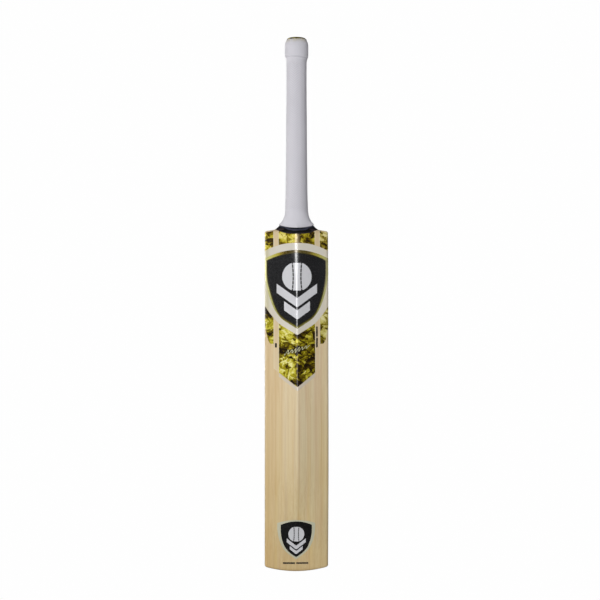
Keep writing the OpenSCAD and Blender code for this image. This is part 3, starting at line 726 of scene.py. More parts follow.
def twine():
    mat = Shader("twine")
    x, y, z = mat.split()
    angle = (y - HANDLE_Y * MM).math("ARCTAN2", x)
    strand = (angle * 90 + z * 5200).math("SINE")
    fuzz = mat.noise(1500, rough=.6)
    colour = mat.tint((186, 176, 148), (226, 218, 194), by=strand, over=(-1, 1))
    colour = mat.tint(colour, (240, 234, 214), by=fuzz, over=(.4, .7), to=(0, .4))
    return mat.finish(Base_Color=colour, Roughness=fuzz.fade((.3, .7), to=(.65, .85)),
                      Sheen_Weight=.2, Normal=mat.bump(strand + fuzz, strength=.5, dist=.0002))


WILLOW = willow()
CANE = cane()
FOIL = gold_foil("gold_foil", size=.86, shift=(.47, 0, .08))
END_FOIL = gold_foil("gold_foil_end", shade=-.03, flat=False, size=1.5)
RIM = gold_rim()
BORDER = printed_film("border_film", (219, 211, 193), (225, 219, 206), coat=.5, coat_rough=.1,
                      sides=((212, 204, 172), (226, 217, 196)))
CREAM = printed_film("cream_film", (197, 195, 166), (205, 202, 178), coat=.5)
FLOURISH = printed_film("flourish_film", (212, 212, 164), (224, 224, 184), coat=.3)
LINE_LOOK = dict(dark=(56, 50, 4), pale=(68, 60, 6), coat=.2, coat_rough=.12, grain=.1)
LINE = printed_film("dark_line_film", **LINE_LOOK)
LINE_RIM = printed_film("dark_line_rim_film", **LINE_LOOK, sides=((58, 50, 2), (150, 142, 104)))
PANEL_EDGE = printed_film("panel_edge_film", (211, 197, 176), (219, 207, 188), coat=.4)
TOE_DARK = printed_film("toe_dark_film", (3, 4, 3), (6, 7, 6), rough=.26, coat=.2, grain=.2,
                        coat_rough=.1)
STRIPE = stripe_film()
DARK = printed_film("dark_film", (27, 27, 28), (34, 34, 35), rough=.26, coat=.45, grain=.2,
                    coat_rough=.1)
SILVER = silver_film()
GRIP = grip_rubber()
TAPE = neck_tape()
SPRING = spring_rubber()
GLUE = glue()
TWINE = twine()


# ------------------------------------------------------------ the blade
def shares_across(radius):
    """Shares of the half width from edge to edge: arc, slope, ridge, slope, arc."""
    flat_end = HALF_W - radius
    xs = list(RIDGE_X) + list(np.linspace(RIDGE_X[-1], flat_end, 31)[1:])
    xs += [flat_end + radius * math.sin(a) for a in np.linspace(0, math.pi / 2, 10)[1:]]
    half = np.array(xs) / HALF_W
    return np.concatenate([-half[:0:-1], half])


BACK_SHARES = shares_across(BACK_EDGE_R)
FACE_SHARES = shares_across(FACE_EDGE_R)


def blade_ring(height, sag=0, inset_x=0, inset_y=0):
    """One ring of the blade; sag is the share of the toe's curve it follows."""
    halves = []
    for shares, side_y, inward in ((BACK_SHARES, back_y, inset_y),
                                   (FACE_SHARES[::-1], face_y, -inset_y)):
        z = height + sag * TOE_SAG * shares**2
        width = half_width(z)
        halves.append(np.stack([shares * (width - inset_x),
                                side_y(shares * width, z) + inward, z], 1))
    return np.concatenate(halves)


def splice_cutter():
    """Upright wedge for the V cut of the splice, a little wider than the handle's foot."""
    depth, half_top, gap = 146.0, 13.9, .2
    tip = SHOULDER - depth
    slope = half_top / depth
    low, high = tip + 3, SHOULDER + HORN + 20
    low_x, high_x = [slope * (z - tip) + gap for z in (low, high)]
    points = []
    for y in (FACE_Y - SPINE_DEPTH - 5, FACE_Y + 5):
        points += [(-low_x, y, low), (low_x, y, low), (high_x, y, high), (-high_x, y, high)]
    return make("cutter", points, [(0, 1, 2, 3), (7, 6, 5, 4), (0, 4, 5, 1), (1, 5, 6, 2),
                                   (2, 6, 7, 3), (3, 7, 4, 0)])


def build_blade():
    round_x, round_y = 3.4, 2.8                   # rounded edge round the toe
    rows = []
    for a in np.linspace(0, math.pi / 2, 9):
        inset = 1 - math.sin(a)
        rows.append(blade_ring(round_x * (1 - math.cos(a)), 1, round_x * inset, round_y * inset))
    for z in np.arange(6.5, SHOULDER - 8, 3.0):
        rows.append(blade_ring(z, 1 - ease(9, 90, z)))
    for above in [*np.arange(-7, 4, .45), *np.arange(4.4, HORN, 1.0), HORN]:
        rows.append(blade_ring(SHOULDER + above))
    blade = make("blade_willow", *loft(rows), WILLOW)
    cutter = splice_cutter()
    splice = blade.modifiers.new("splice", "BOOLEAN")
    splice.operation = "DIFFERENCE"
    splice.solver = "EXACT"
    splice.object = cutter
    bpy.context.view_layer.update()
    depsgraph = bpy.context.evaluated_depsgraph_get()
    cut = bpy.data.meshes.new_from_object(blade.evaluated_get(depsgraph))
    blade.modifiers.clear()
    blade.data = cut
    bpy.data.objects.remove(cutter)
    cut.shade_smooth()
    cut.set_sharp_from_angle(angle=math.radians(38))
    add(blade, "blade")


def dress_cad_parts():
    """Materials of the pieces that are kept from the CAD."""
    looks = (("cane_", CANE), ("spring_", SPRING))
    exact = {"splice_glue": GLUE, "handle_twine": TWINE}
    for name, ob in frame["nodes"].items():
        found = [look for prefix, look in looks if name.startswith(prefix)]
        material = found[0] if found else exact.get(name)
        if material:
            ob.data.materials.clear()
            ob.data.materials.append(material)


# ------------------------------------------------------------ neck tape and grip
HALF_AROUND = 110
PHI = (np.arange(HALF_AROUND) + .5) * math.pi / HALF_AROUND
AROUND = np.concatenate([math.pi + PHI, PHI])     # angles of a full ring


def wrap_ring(share, build, top, lip_back, lip_front):
    """One ring of a wrap round the neck, a share of the way from its lip to its top.
    build is the height over the willow, or gives it from width share and rise."""
    halves = []
    for phi, lip, side_y, out in ((PHI[::-1], lip_back, back_y, -1),
                                  (PHI, lip_front, face_y, 1)):
        u = np.cos(phi)
        z = mix(lip(u), top, share)
        lift = build(u, z - lip(u)) if callable(build) else build
        width = half_width(z)
        halves.append(np.stack([u * (width + lift), side_y(u * width, z) + out * lift, z], 1))
    return np.concatenate(halves)


def circle(radius, z, angles=AROUND):
    return np.stack([radius * np.cos(angles), HANDLE_Y + radius * np.sin(angles),
                     np.broadcast_to(z, angles.shape)], 1)


def tape_lip(x):
    """Height of the tape's lower edge on the back."""
    return SHOULDER - 5.6 + .000507 * np.abs(x) ** 2.73


def tape_lip_back(u):
    """Height where the lip meets each share of the width, by bisection."""
    low, high = np.full(u.shape, SHOULDER - 7.0), np.full(u.shape, SHOULDER + 8.0)
    for _ in range(24):
        middle = (low + high) / 2
        over = middle > tape_lip(u * half_width(middle))
        high = np.where(over, middle, high)
        low = np.where(over, low, middle)
    return (low + high) / 2


def tape_lip_front(u):
    return np.full_like(u, SHOULDER + 2.6)


def build_tape():
    length, lap_width = 40.0, 3.4                 # along the wrap, in mm
    top = SHOULDER + 38

    def ring(share):
        """Each turn steps over the one below."""
        along = share * length
        lap = (along / lap_width) % 1.0
        return wrap_ring(share, lambda u, rise: .62 + .26 * lap + .05 * np.sin(along * 5.3 + 4 * u),
                         top, tape_lip_back, tape_lip_front)

    shares = [*np.linspace(0, .45, 66), *np.linspace(.45, 1, 14)[1:]]
    inner = [wrap_ring(share, .05, top, tape_lip_back, tape_lip_front)
             for share in np.linspace(0, 1, 9)]
    tape = make("neck_tape_laps", *shell([ring(share) for share in shares], inner), TAPE, sharp=35)
    # mm up from the lip, for the material
    lap = np.zeros(len(tape.data.vertices))
    around = 2 * HALF_AROUND
    lap[:len(shares) * around] = np.repeat(np.array(shares) * length, around)
    tape.data.attributes.new("lap", "FLOAT", "POINT").data.foreach_set("value", lap)
    add(tape, "neck_tape")


# (z, radius) of the turned part of the grip
GRIP_OUT = [(SHOULDER + 30.7, 19.28), (SHOULDER + 37, 19.0), (SHOULDER + 44, 18.85),
            (SHOULDER + 54, 18.4), (SHOULDER + 83, 18.0), (SHOULDER + 132, 17.45),
            (SHOULDER + 182, GRIP_R + .35), (SHOULDER + 222, GRIP_R), (TOP - 42.5, GRIP_R),
            (TOP - 38.3, GRIP_R + .2), (TOP - 35.1, 17.9), (TOP - 33.2, 18.4), (TOP - 31.4, 18.95)]
# (radius, z from the handle end): collar, rolled shoulder and the dome under the end label
COLLAR = [(18.15, -34.0), (17.95, -33.6), (17.9, -33.25), (18.15, -32.95), (18.75, -32.6),
          (19.15, -31.6), (COLLAR_R - .08, -30.4), (COLLAR_R, -29.6), (COLLAR_R, -28),
          (COLLAR_R, -25), (COLLAR_R, -22), (COLLAR_R, -19), (COLLAR_R, -16), (COLLAR_R, -14),
          (COLLAR_R - .12, -12.8), (COLLAR_R - .42, -10.9), (COLLAR_R - .9, -8.8),
          (COLLAR_R - 1.5, -7.0), (COLLAR_R - 2.15, -5.6), (COLLAR_R - 2.75, -4.35),
          (COLLAR_R - 3.6, -3.2), (COLLAR_R - 4.7, -2.2), (COLLAR_R - 6.1, -1.2),
          (12.2, -.75), (11.7, -.45)]
# (z from the handle end, radius) of the bore in the collar
BORE = [(-30, COLLAR_R - 2.2), (-14, COLLAR_R - 2.2), (-10, COLLAR_R - 3.5),
        (-6, COLLAR_R - 4.5), (-2.6, COLLAR_R - 6.1), (-.3, 11.55)]
BORE_LEVELS = [*(SHOULDER + z for z in (36, 54, 83, 132, 222)),
               *(TOP + z for z in (-42, -34, -30, -14, -10, -6, -2.8, -.5))]
GRIP_LIFT = 2.95                                  # outside of the grip over the willow
CHEVRON_PITCH = 3.9


def grip_lip_back(u):
    return SHOULDER + 4.4 + 5.2 * np.abs(u) ** 2


def grip_lip_front(u):
    return SHOULDER + 6.5 + 3.1 * np.abs(u) ** 2


def relief(z, angle):
    """Grooves of the moulded chevron pattern, 0 on the ribs and 1 in the grooves."""
    zigzag = np.abs((angle / (2 * math.pi) * 14 % 2) - 1)
    phase = z / CHEVRON_PITCH + zigzag * 1.5
    groove = .5 - .5 * np.cos(2 * math.pi * phase)
    seam = np.minimum(zigzag, 1 - zigzag)
    groove = np.maximum(groove ** 1.5, ease(.055, .02, seam) * .9)
    return groove * ease(SHOULDER + 26, SHOULDER + 33, z) * ease(TOP - 37.5, TOP - 44, z)


def lean(ring, amount):
    """Lowers the ring's right side, as the collar sits aslant."""
    ring[:, 2] -= .055 * ring[:, 0] * amount
    return ring


def grip_lip_ring(share):
    """Lower part that follows the neck, with a rounded and slightly swollen lip."""
    bead = 1 - math.sqrt(max(0, 1 - (1 - min(1, share / .06)) ** 2))
    return wrap_ring(share, lambda u, rise: (GRIP_LIFT - .9 * bead
                                             + .22 * ease(0, 1, 1 - np.abs(rise - 2.0) / 2.0)),
                     SHOULDER + 29.5, grip_lip_back, grip_lip_front)


def grip_body_ring(z):
    ring = circle(float(curve(GRIP_OUT, z)) - .30 * relief(z, AROUND), z)
    turned = float(ease(SHOULDER + 29.5, SHOULDER + 37, z))
    if turned < 1:
        # blend from the neck's section into the true circle
        neck = np.stack([np.cos(AROUND) * (float(half_width(z)) + GRIP_LIFT),
                         HANDLE_Y + np.sin(AROUND) * (float(neck_r(z)) + GRIP_LIFT),
                         np.full_like(AROUND, z)], 1)
        ring = mix(neck, ring, turned)
    return lean(ring, float(ease(TOP - 42, TOP - 35, z)))


def bore_r(z):
    if z < TOP - 31:
        return float(curve(GRIP_OUT, min(z, TOP - 31.4))) - 2.15
    return float(np.interp(z, [TOP + above for above, _ in BORE], [r for _, r in BORE]))


def build_grip():
    outer = [grip_lip_ring(share) for share in np.linspace(0, 1, 54)]
    outer += [grip_body_ring(z) for z in np.arange(SHOULDER + 31.2, TOP - 34.3, .62)]
    for radius, above in COLLAR:
        z = TOP + above
        outer.append(lean(circle(radius, z), float(ease(TOP - 29.6, TOP - 32, z))))
    inner = [wrap_ring(share, 1.02, SHOULDER + 31, grip_lip_back, grip_lip_front)
             for share in (0, .3, .6, 1)]
    inner += [circle(bore_r(z), z) for z in BORE_LEVELS]
    add(make("rubber_grip_sleeve", *shell(outer, inner), GRIP, sharp=60),
        "rubber_grip")


# (radius, z from the handle end) of the end label, middle to edge
END_LABEL = [(.01, 0), (2, 0), (5, 0), (8, 0), (11.2, 0), (12.2, -.22), (13.2, -.56),
             (14.1, -1.05), (14.9, -1.6), (15.6, -2.25), (16.2, -2.95)]
# (height share, waves round the edge, phase) of its pleats
PLEATS = [(.5, 9, .4), (.45, 14, 2.1), (.35, 23, 4.4), (.3, 31, 1.2)]


def build_end_label():
    """Round foil sticker pressed over the handle end, its edge pleated."""
    count = 240
    angles = np.arange(count) * 2 * math.pi / count
    pleat = sum(size * np.sin(angles * waves + phase) for size, waves, phase in PLEATS)
    reach = (1 + .07 * np.sin(angles * 3 + 1) + .05 * np.sin(angles * 8 + .3)
             + .04 * np.sin(angles * 19 + 2))
    upper, under = [], []
    for i, (radius, drop) in enumerate(END_LABEL):
        edge = max(0, (i - 4) / (len(END_LABEL) - 5))
        r = radius * (1 + (reach - 1) * edge ** 2 * .35) + .09 * pleat * edge ** 2
        z = np.minimum(TOP + drop * reach ** edge + .08 * pleat * edge ** 2, TOP)
        upper.append(circle(r, z, angles))
        under.append(circle(r - .1 * edge, z - .2, angles))
    # both stacks run from the edge up to the middle
    label_mesh = shell(upper[::-1], under[::-1])
    add(make("handle_end_foil", *label_mesh, END_FOIL, sharp=35), "handle_end_label")


# ------------------------------------------------------------ films on the back
FILM_T = .12                                      # film thickness
LAYER = FILM_T + .04                              # rise from one film to the next
FILM_GAP = .05                                    # lowest film over the wood
FILM_EDGE = HALF_W - .02                          # outermost x of a film


def film_grid(X, Z, layer):
    """Closed film on the blade's back from a grid of x and z."""
    count, tall = X.shape
    e = .05
    slope_x = (back_y(X + e, Z) - back_y(X - e, Z)) / (2 * e)
    slope_z = (back_y(X, Z + e) - back_y(X, Z - e)) / (2 * e)
    slope_x, slope_z = np.clip(slope_x, -12, 12), np.clip(slope_z, -2, 2)
    normal = np.stack([slope_x, -np.ones_like(slope_x), slope_z], -1)
    normal /= np.linalg.norm(normal, axis=-1, keepdims=True)
    wood = np.stack([X, back_y(X, Z), Z], -1)
    lift = FILM_GAP + layer * LAYER
    outside = (wood + normal * (lift + FILM_T)).reshape(-1, 3)
    inside = (wood + normal * lift).reshape(-1, 3)
    o = count * tall                              # first inside point
    i = np.arange(tall - 1)
    faces = []
    for column in range(count - 1):
        low, low_next = column * tall, (column + 1) * tall
        p, q = low + i, low_next + i
        faces += quads(p, q, q + 1, p + 1)
        faces += quads(o + p, o + p + 1, o + q + 1, o + q)
        faces.append([low, o + low, o + low_next, low_next])
        top, top_next = low + tall - 1, low_next + tall - 1
        faces.append([top, top_next, o + top_next, o + top])
    for j in range(tall - 1):
        faces.append([j, j + 1, o + j + 1, o + j])
        s = (count - 1) * tall + j
        faces.append([s, o + s, o + s + 1, s + 1])
    return np.concatenate([outside, inside]), faces


def film(xs, low, high, layer=0, step=4.0):
    """Film as columns from low(x) to high(x)."""
    lows = np.array([float(low(x)) for x in xs])
    highs = np.array([float(high(x)) for x in xs])
    rows = max(1, int(np.max(highs - lows) / step))
    t = np.linspace(0, 1, rows + 1)
    X = np.repeat(np.asarray(xs, float)[:, None], rows + 1, 1)
    return film_grid(X, lows[:, None] + (highs - lows)[:, None] * t[None], layer)


def film_rows(zs, left, right, layer, count):
    """Film as rows from left(z) to right(z)."""
    lefts = np.array([float(left(z)) for z in zs])
    rights = np.array([float(right(z)) for z in zs])
    t = np.linspace(0, 1, count + 1)
    X = (lefts[:, None] + (rights - lefts)[:, None] * t[None]).T
    return film_grid(X, np.repeat(np.asarray(zs, float)[None], count + 1, 0), layer)


def bar(left, right, low, high, count, layer=0):
    return film(np.linspace(left, right, count), lambda x: low, lambda x: high, layer, step=2)


def wide_columns(left, right, step=1.5):
    """Columns that also follow the rounded edge of the blade."""
    limit = HALF_W - BACK_EDGE_R + .4
    arc = [HALF_W - BACK_EDGE_R + BACK_EDGE_R * math.sin(a) for a in np.linspace(.15, 1.47, 9)]
    arc = [x for x in arc if x > limit + .1]
    xs = list(columns(max(left, -limit), min(right, limit), step))
    if right > limit:
        xs += arc
    if left < -limit:
        xs = [-x for x in arc[::-1]] + xs
    return np.array(xs)


def edged_columns(middle, half, step=1.2):
    """Columns that stand closer at both ends, for steep outlines."""
    left, right = middle - half, middle + half
    xs = list(columns(left, right, step))
    for inset in (.15, .35, .6, .9, 1.3, 1.8, 2.4):
        xs += [left + inset, right - inset]
    return np.array(sorted(set(np.round(xs, 3))))


def label(node, slot, parts, *materials):
    """Joins films into one label. With several materials, each part takes its own."""
    points, faces, indices, offset = [], [], [], 0
    for index, (part_points, part_faces) in enumerate(parts):
        points.append(part_points)
        faces += [[i + offset for i in face] for face in part_faces]
        indices += [index] * len(part_faces)
        offset += len(part_points)
    ob = make(node + "_film", np.concatenate(points), faces, materials[0], sharp=50)
    if len(materials) > 1:
        for material in materials[1:]:
            ob.data.materials.append(material)
        ob.data.polygons.foreach_set("material_index", indices)
    add(ob, node)


def tip_curve(stations, x):
    """Mirrored curve with the point at x = 0 kept crisp but not needle sharp."""
    soft = .8
    return float(curve(stations, math.sqrt(x * x + soft * soft) - soft * .75))


def emblem(x0, z0, radius, seam, chevrons, slope, layer, scale):
    """A ball with curved seams and stitches over chevrons.
    seam: inner and outer x of a seam; chevrons: (half width, low z, high z) at the middle."""
    seam_in, seam_out = seam
    zs = z0 + radius * np.sin(np.linspace(-math.pi / 2 + .02, math.pi / 2 - .02, 41))

    def half(z):
        return math.sqrt(max(0, radius * radius - (z - z0) ** 2))

    def bow(z):
        return 1.5 * scale * ((z - z0) / radius) ** 2

    # middle strip between the seams, then the right and left sides
    strip = [z for z in zs if half(z) > seam_in + bow(z) + .1]
    sides = [z for z in zs if half(z) > seam_out + bow(z) + .15]
    parts = [film_rows(strip, lambda z: x0 - seam_in - bow(z), lambda z: x0 + seam_in + bow(z),
                       layer, 10),
             film_rows(sides, lambda z: x0 + seam_out + bow(z), lambda z: x0 + half(z), layer, 8),
             film_rows(sides, lambda z: x0 - half(z), lambda z: x0 - seam_out - bow(z), layer, 8)]
    # stitches that bridge each seam
    count, thick = 7, .42 * scale
    for i in range(count):
        z = z0 + radius * .84 * (2 * i / (count - 1) - 1)
        if half(z) < seam_out + bow(z) + 1:
            continue
        near, far = seam_in + bow(z) - .1 * scale, seam_out + bow(z) + .1 * scale
        for way in (-1, 1):
            def rise(x):
                return way * (x - x0 - way * (seam_in + seam_out) / 2) * .35
            xs = np.linspace(*sorted((x0 + way * near, x0 + way * far)), 3)
            parts.append(film(xs, lambda x: z - thick + rise(x), lambda x: z + thick + rise(x),
                              layer))

    def out(x):
        return math.sqrt((x - x0) ** 2 + .5) - .5

    for half_span, low, high in chevrons:
        parts.append(film(columns(x0 - half_span, x0 + half_span, 1.2),
                          lambda x: low + slope * out(x), lambda x: high + slope * out(x), layer))
    return parts


# ------------------------------------------------------------ shoulder badge
# lower outlines: (x, z above the shoulder)
BORDER_LOW = [(0, -171.2), (15, -162), (28.9, -152.7), (37.4, -143.7), (44.9, -134.2),
              (52, -123.5)]
RIM_LOW = [(0, -161.2), (12, -153.6), (25.2, -144.3), (35.3, -131.3), (41.6, -117.3),
           (46.3, -103), (49.4, -88), (51.2, -76), (52.1, -62)]
FIELD_LOW = [(0, -156.5), (10, -150.5), (20.9, -143.5), (29.4, -134), (35.9, -120),
             (38.5, -112), (42.5, -98), (45.9, -83), (47.4, -66), (47.8, -56)]
FIELD_HALF, LINE_HALF = 47.7, 49.3                # half widths of field and dark line


def border_top(x):
    return SHOULDER - 20.6 - 12.4 * (abs(x) / 51) ** 2.3


def field_top(x):
    return SHOULDER - 37.7 - 11.9 * (abs(x) / 47.8) ** 1.9


def build_badge():
    full = (-FILM_EDGE, FILM_EDGE)
    border = film(wide_columns(*full), lambda x: SHOULDER + tip_curve(BORDER_LOW, x), border_top)
    rim = film(wide_columns(*full, 1.0), lambda x: SHOULDER + tip_curve(RIM_LOW, x),
               lambda x: SHOULDER - 32.1 - 12.9 * (abs(x) / 51) ** 2, layer=1)
    line = film(edged_columns(0, LINE_HALF),
                lambda x: SHOULDER + tip_curve(FIELD_LOW, x * FIELD_HALF / LINE_HALF) - 1.7,
                lambda x: field_top(x) + 1.3, layer=1.6)
    field = film(edged_columns(0, FIELD_HALF), lambda x: SHOULDER + tip_curve(FIELD_LOW, x),
                 field_top, layer=2)
    ball = emblem(0, SHOULDER - 76, radius=24, seam=(5.0, 7.2), slope=.72, layer=3, scale=1.0,
                  chevrons=[(33, SHOULDER - 126, SHOULDER - 111),
                            (21, SHOULDER - 146, SHOULDER - 131)])
    label("badge_border", "border_film", [border], BORDER)
    label("badge_rim", "gold_foil", [rim, line], RIM, LINE_RIM)
    label("badge_field", "dark_film", [field], DARK)
    label("badge_emblem", "silver_film", ball, SILVER)


# ------------------------------------------------------------ foils, stripes and panel
OUTLINE_Z = np.linspace(SHOULDER - 8, SHOULDER + 8, 1601)
OUTLINE_W = half_width(OUTLINE_Z)
PANEL_BOTTOM, PANEL_TIP = SHOULDER - 232.5, SHOULDER - 256
# lower outline of the wings: (x, z above the shoulder)
WING_LOW = [(38, -186.5), (43.9, -185.6), (46.6, -181), (48.9, -174), (50.4, -166), (52, -157)]
# side, x range of its foils, x range of its stripe
SIDES = [("left", (-FILM_EDGE, -STRIPE_OUT - .2), (-STRIPE_OUT, -STRIPE_IN)),
         ("right", (STRIPE_OUT + .2, FILM_EDGE), (STRIPE_IN, STRIPE_OUT))]


def outline_top(x):
    """Greatest height at which the blade or neck still reaches out to x."""
    reached = OUTLINE_Z[OUTLINE_W >= abs(x) - 1e-9]
    return float(reached[-1]) if len(reached) else SHOULDER - 8


def above_badge(xs, step):
    """Film from the badge border up to just under the tape."""
    return film(xs, lambda x: border_top(x) + .35,
                lambda x: min(float(tape_lip(x)) + .6, outline_top(abs(x) + .12) - .3), step=step)


def below_badge(xs, low, step=4.0):
    """Film from low(x) up to the badge border."""
    return film(xs, low, lambda x: SHOULDER + tip_curve(BORDER_LOW, x) - .35, step=step)


def panel_low(x):
    return mix(PANEL_TIP, PANEL_BOTTOM, (math.sqrt(x * x + 1) - .8) / STRIPE_IN)


def build_foils():
    centre = columns(-STRIPE_IN + .2, STRIPE_IN - .2)
    for side, foil, _ in SIDES:
        label("shoulder_foil_" + side, "gold_foil", [above_badge(wide_columns(*foil), 2)], FOIL)
    label("shoulder_foil_centre", "gold_foil", [above_badge(centre, 3)], FOIL)
    for side, _, stripe in SIDES:
        xs = columns(*stripe)
        lower = below_badge(xs, lambda x: PANEL_BOTTOM - 1 + .8 * (abs(x) - STRIPE_IN))
        label("stripe_" + side, "stripe_film", [above_badge(xs, 3), lower], STRIPE)
    for side, foil, _ in SIDES:
        wing = below_badge(wide_columns(*foil, .7),
                           lambda x: SHOULDER + float(curve(WING_LOW, abs(x))), step=3)
        label("wing_foil_" + side, "gold_foil", [wing], FOIL)
    label("panel_foil", "gold_foil", [below_badge(centre, panel_low)], FOIL)
    border = film(columns(-STRIPE_IN + .1, STRIPE_IN - .1), lambda x: panel_low(x) - 6.6,
                  lambda x: panel_low(x) - .3, step=2)
    label("panel_border", "border_film", [border], PANEL_EDGE)


def flourish(pen_half, layer):
    """A slanted wavy pen stroke on the foil; pen_half is half the line's width."""
    count = 170
    x = np.linspace(-20.5, 20.5, count)
    share = np.linspace(0, 1, count)
    # taller waves near the start and the middle
    height = (2.9 + 1.5 * np.exp(-((share - .07) / .09) ** 2)
              + 1.4 * np.exp(-((share - .5) / .08) ** 2) - .7 * share)
    height *= ease(-.03, .06, share) * (1 - .6 * ease(.9, 1, share))
    phase = 2 * math.pi * (x / 5.9 + .12 * np.sin(x / 5))
    rise = SHOULDER - 195.8 + .30 * x
    z = rise + height * np.sin(phase)
    slope = np.gradient(z, x)
    # heavier downstrokes, thin ends
    pen = pen_half * (.75 + .35 * (slope < 0))
    pen *= np.minimum(1, np.minimum(share, 1 - share) / .03 + .25)
    pen = np.convolve(np.pad(pen, 3, mode="edge"), np.ones(7) / 7, "valid")
    half = pen * np.sqrt(1 + np.minimum(slope ** 2, 9))
    Z = z[:, None] + half[:, None] * np.linspace(-1, 1, 5)[None]
    return film_grid(x[:, None] + .42 * (Z - rise[:, None]), Z, layer)


# (left, right, low, high) of the bars on the stripes, z above the shoulder
STRIPE_BARS = [(-36.0, -33.0, -192.2, -185.2), (31.4, 34.0, -174.5, -158),
               (31.4, 34.0, -192, -176)]


def build_panel_marks():
    label("panel_flourish", "silver_film", [flourish(.56, layer=2), flourish(1.05, layer=1)],
          FLOURISH, LINE)
    label("stripe_bars", "dark_film",
          [bar(left, right, SHOULDER + low, SHOULDER + high, count=4, layer=1)
           for left, right, low, high in STRIPE_BARS], DARK)


# ------------------------------------------------------------ toe badge
TOE_X, TOE_Z = -1.2, 24.2                         # middle and foot of the badge field
# lower outlines: (x from the middle, z above the foot)
TOE_FIELD_LOW = [(0, 0), (7, 5), (13, 10.4), (18, 17), (22, 27), (24.4, 38), (25.6, 52.6)]
TOE_BORDER_LOW = [(0, -3.6), (8, 2.2), (15, 8), (20.5, 14.4), (25.5, 24), (29, 36), (31.2, 52)]


def toe_film(half, low, top, half_top, sag, layer):
    """Shield of the toe badge; its top edge sags by sag at half_top from the middle."""
    return film(edged_columns(TOE_X, half, 1.0), lambda x: TOE_Z + tip_curve(low, x - TOE_X),
                lambda x: TOE_Z + top - sag * ((x - TOE_X) / half_top) ** 2, layer, step=3)


def build_toe_badge():
    border = toe_film(31.1, TOE_BORDER_LOW, top=62.2, half_top=31.2, sag=5.6, layer=0)
    field = toe_film(25.5, TOE_FIELD_LOW, top=60.0, half_top=25.6, sag=6.4, layer=1)
    ball = emblem(TOE_X, TOE_Z + 38.6, radius=13, seam=(2.8, 4.2), slope=.8, layer=2, scale=.55,
                  chevrons=[(15.5, TOE_Z + 13, TOE_Z + 19.4), (10.5, TOE_Z + 5, TOE_Z + 10.6)])
    bars = [bar(left, right, low=12.6, high=15.2, count=12)
            for left, right in ((-22.8, -3.0), (-1.0, 18.8))]
    label("toe_badge_border", "border_film", [border], CREAM)
    label("toe_badge_field", "dark_film", [field], TOE_DARK)
    label("toe_badge_emblem", "silver_film", ball, SILVER)
    label("toe_bars", "dark_film", bars, DARK)


# ------------------------------------------------------------ stage
scene = bpy.context.scene
PALE = (.993, .993, .993, 1)                      # what the camera sees around the bat
MID_Z = (CAD_LO[2] + CAD_HI[2]) / 2
# name, angle, distance, height above the middle, width, height, watts, colour
# the angle is 0 straight in front of the spine side and positive to the left
LIGHTS = [("front_strip", 5, 2.9, .12, .7, 1.7, 66, (.99, .99, .998)),
          ("side_left", 94, 2.6, .12, .8, 1.7, 36, (1, .99, .97)),
          ("right_fill", -4, 3.0, .2, .7, 1.7, 6.5, (.94, .98, 1)),
          ("back_left", 155, 2.9, .35, 1.0, 1.6, 28, (1, 1, 1)),
          ("back_right", -158, 2.9, .35, 1.0, 1.6, 12, (1, 1, 1))]


def camera_switch(tree, lighting, seen, output):
    """Shows one shader to the camera and lights the scene with the other."""
    switch = tree.nodes.new("ShaderNodeMixShader")
    path = tree.nodes.new("ShaderNodeLightPath")
    tree.links.new(path.outputs["Is Camera Ray"], switch.inputs[0])
    tree.links.new(lighting.outputs[0], switch.inputs[1])
    tree.links.new(seen.outputs[0], switch.inputs[2])
    tree.links.new(switch.outputs[0], tree.nodes[output].inputs[0])


def floor_material():
    material = bpy.data.materials.new("floor_pale")
    material.use_nodes = True
    tree = material.node_tree
    surface = tree.nodes["Principled BSDF"]
    surface.inputs["Roughness"].default_value = .9
    noise = tree.nodes.new("ShaderNodeTexNoise")
    noise.inputs["Scale"].default_value = 3
    ramp = tree.nodes.new("ShaderNodeValToRGB")
    ramp.color_ramp.elements[0].color = (.30, .30, .31, 1)
    ramp.color_ramp.elements[1].color = (.34, .34, .35, 1)
    tree.links.new(noise.outputs[0], ramp.inputs[0])
    tree.links.new(ramp.outputs[0], surface.inputs["Base Color"])
    glow = tree.nodes.new("ShaderNodeEmission")
    glow.inputs["Color"].default_value = PALE
    camera_switch(tree, surface, glow, "Material Output")
    return material


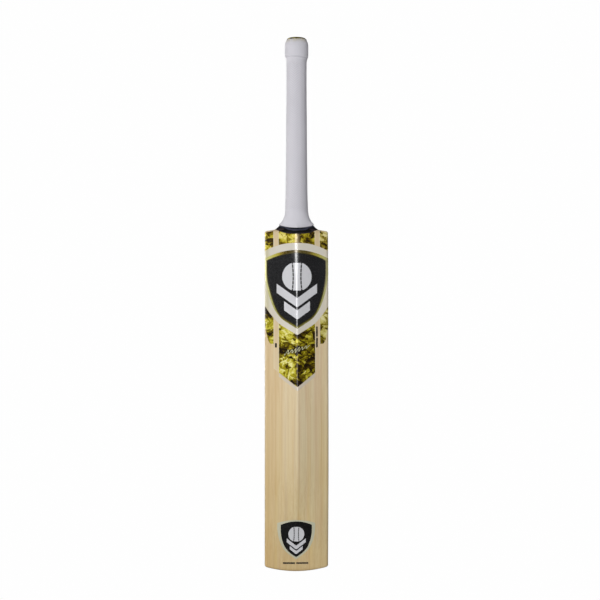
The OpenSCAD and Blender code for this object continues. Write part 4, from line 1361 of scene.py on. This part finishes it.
def build_floor():
    half, z = 6.0, CAD_LO[2] - .0004
    mesh = bpy.data.meshes.new("floor")
    mesh.from_pydata([(-half, -half, z), (half, -half, z), (half, half, z), (-half, half, z)],
                     [], [(0, 1, 2, 3)])
    floor = bpy.data.objects.new("floor", mesh)
    scene.collection.objects.link(floor)
    mesh.materials.append(floor_material())


def build_world():
    world = bpy.data.worlds.new("studio")
    world.use_nodes = True
    scene.world = world
    tree = world.node_tree
    lighting = tree.nodes["Background"]
    lighting.inputs["Color"].default_value = (.93, .95, 1, 1)
    lighting.inputs["Strength"].default_value = .075
    seen = tree.nodes.new("ShaderNodeBackground")
    seen.inputs["Color"].default_value = PALE
    seen.inputs["Strength"].default_value = 1.0
    camera_switch(tree, lighting, seen, "World Output")


def place(name, data, location, towards):
    """Links an object that looks along towards."""
    ob = bpy.data.objects.new(name, data)
    scene.collection.objects.link(ob)
    ob.location = location
    ob.rotation_euler = towards.to_track_quat("-Z", "Y").to_euler()
    return ob


def build_lights():
    for name, angle, distance, above, width, height, watts, colour in LIGHTS:
        light = bpy.data.lights.new(name, "AREA")
        light.energy = watts
        light.color = colour
        light.shape = "RECTANGLE"
        light.size = width
        light.size_y = height
        turn = math.radians(angle)
        spot = Vector((-math.sin(turn) * distance, -math.cos(turn) * distance, MID_Z + above))
        place(name, light, spot, Vector((0, 0, MID_Z)) - spot)


def build_camera():
    distance, azimuth = 2.744, math.radians(-2.5)
    target = Vector((.0053, 0, .4467))
    lens = bpy.data.cameras.new("camera")
    lens.lens = 100
    lens.sensor_width = 36
    lens.clip_end = 50
    back = Vector((math.sin(azimuth), -math.cos(azimuth), 0))
    scene.camera = place("camera", lens, target + back * distance, -back)
    scene.view_settings.view_transform = "Standard"
    scene.view_settings.look = "None"
    scene.view_settings.exposure = 0
    scene.view_settings.gamma = 1


build_blade()
dress_cad_parts()
build_tape()
build_grip()
build_end_label()
build_badge()
build_foils()
build_panel_marks()
build_toe_badge()
build_floor()
build_world()
build_lights()
build_camera()
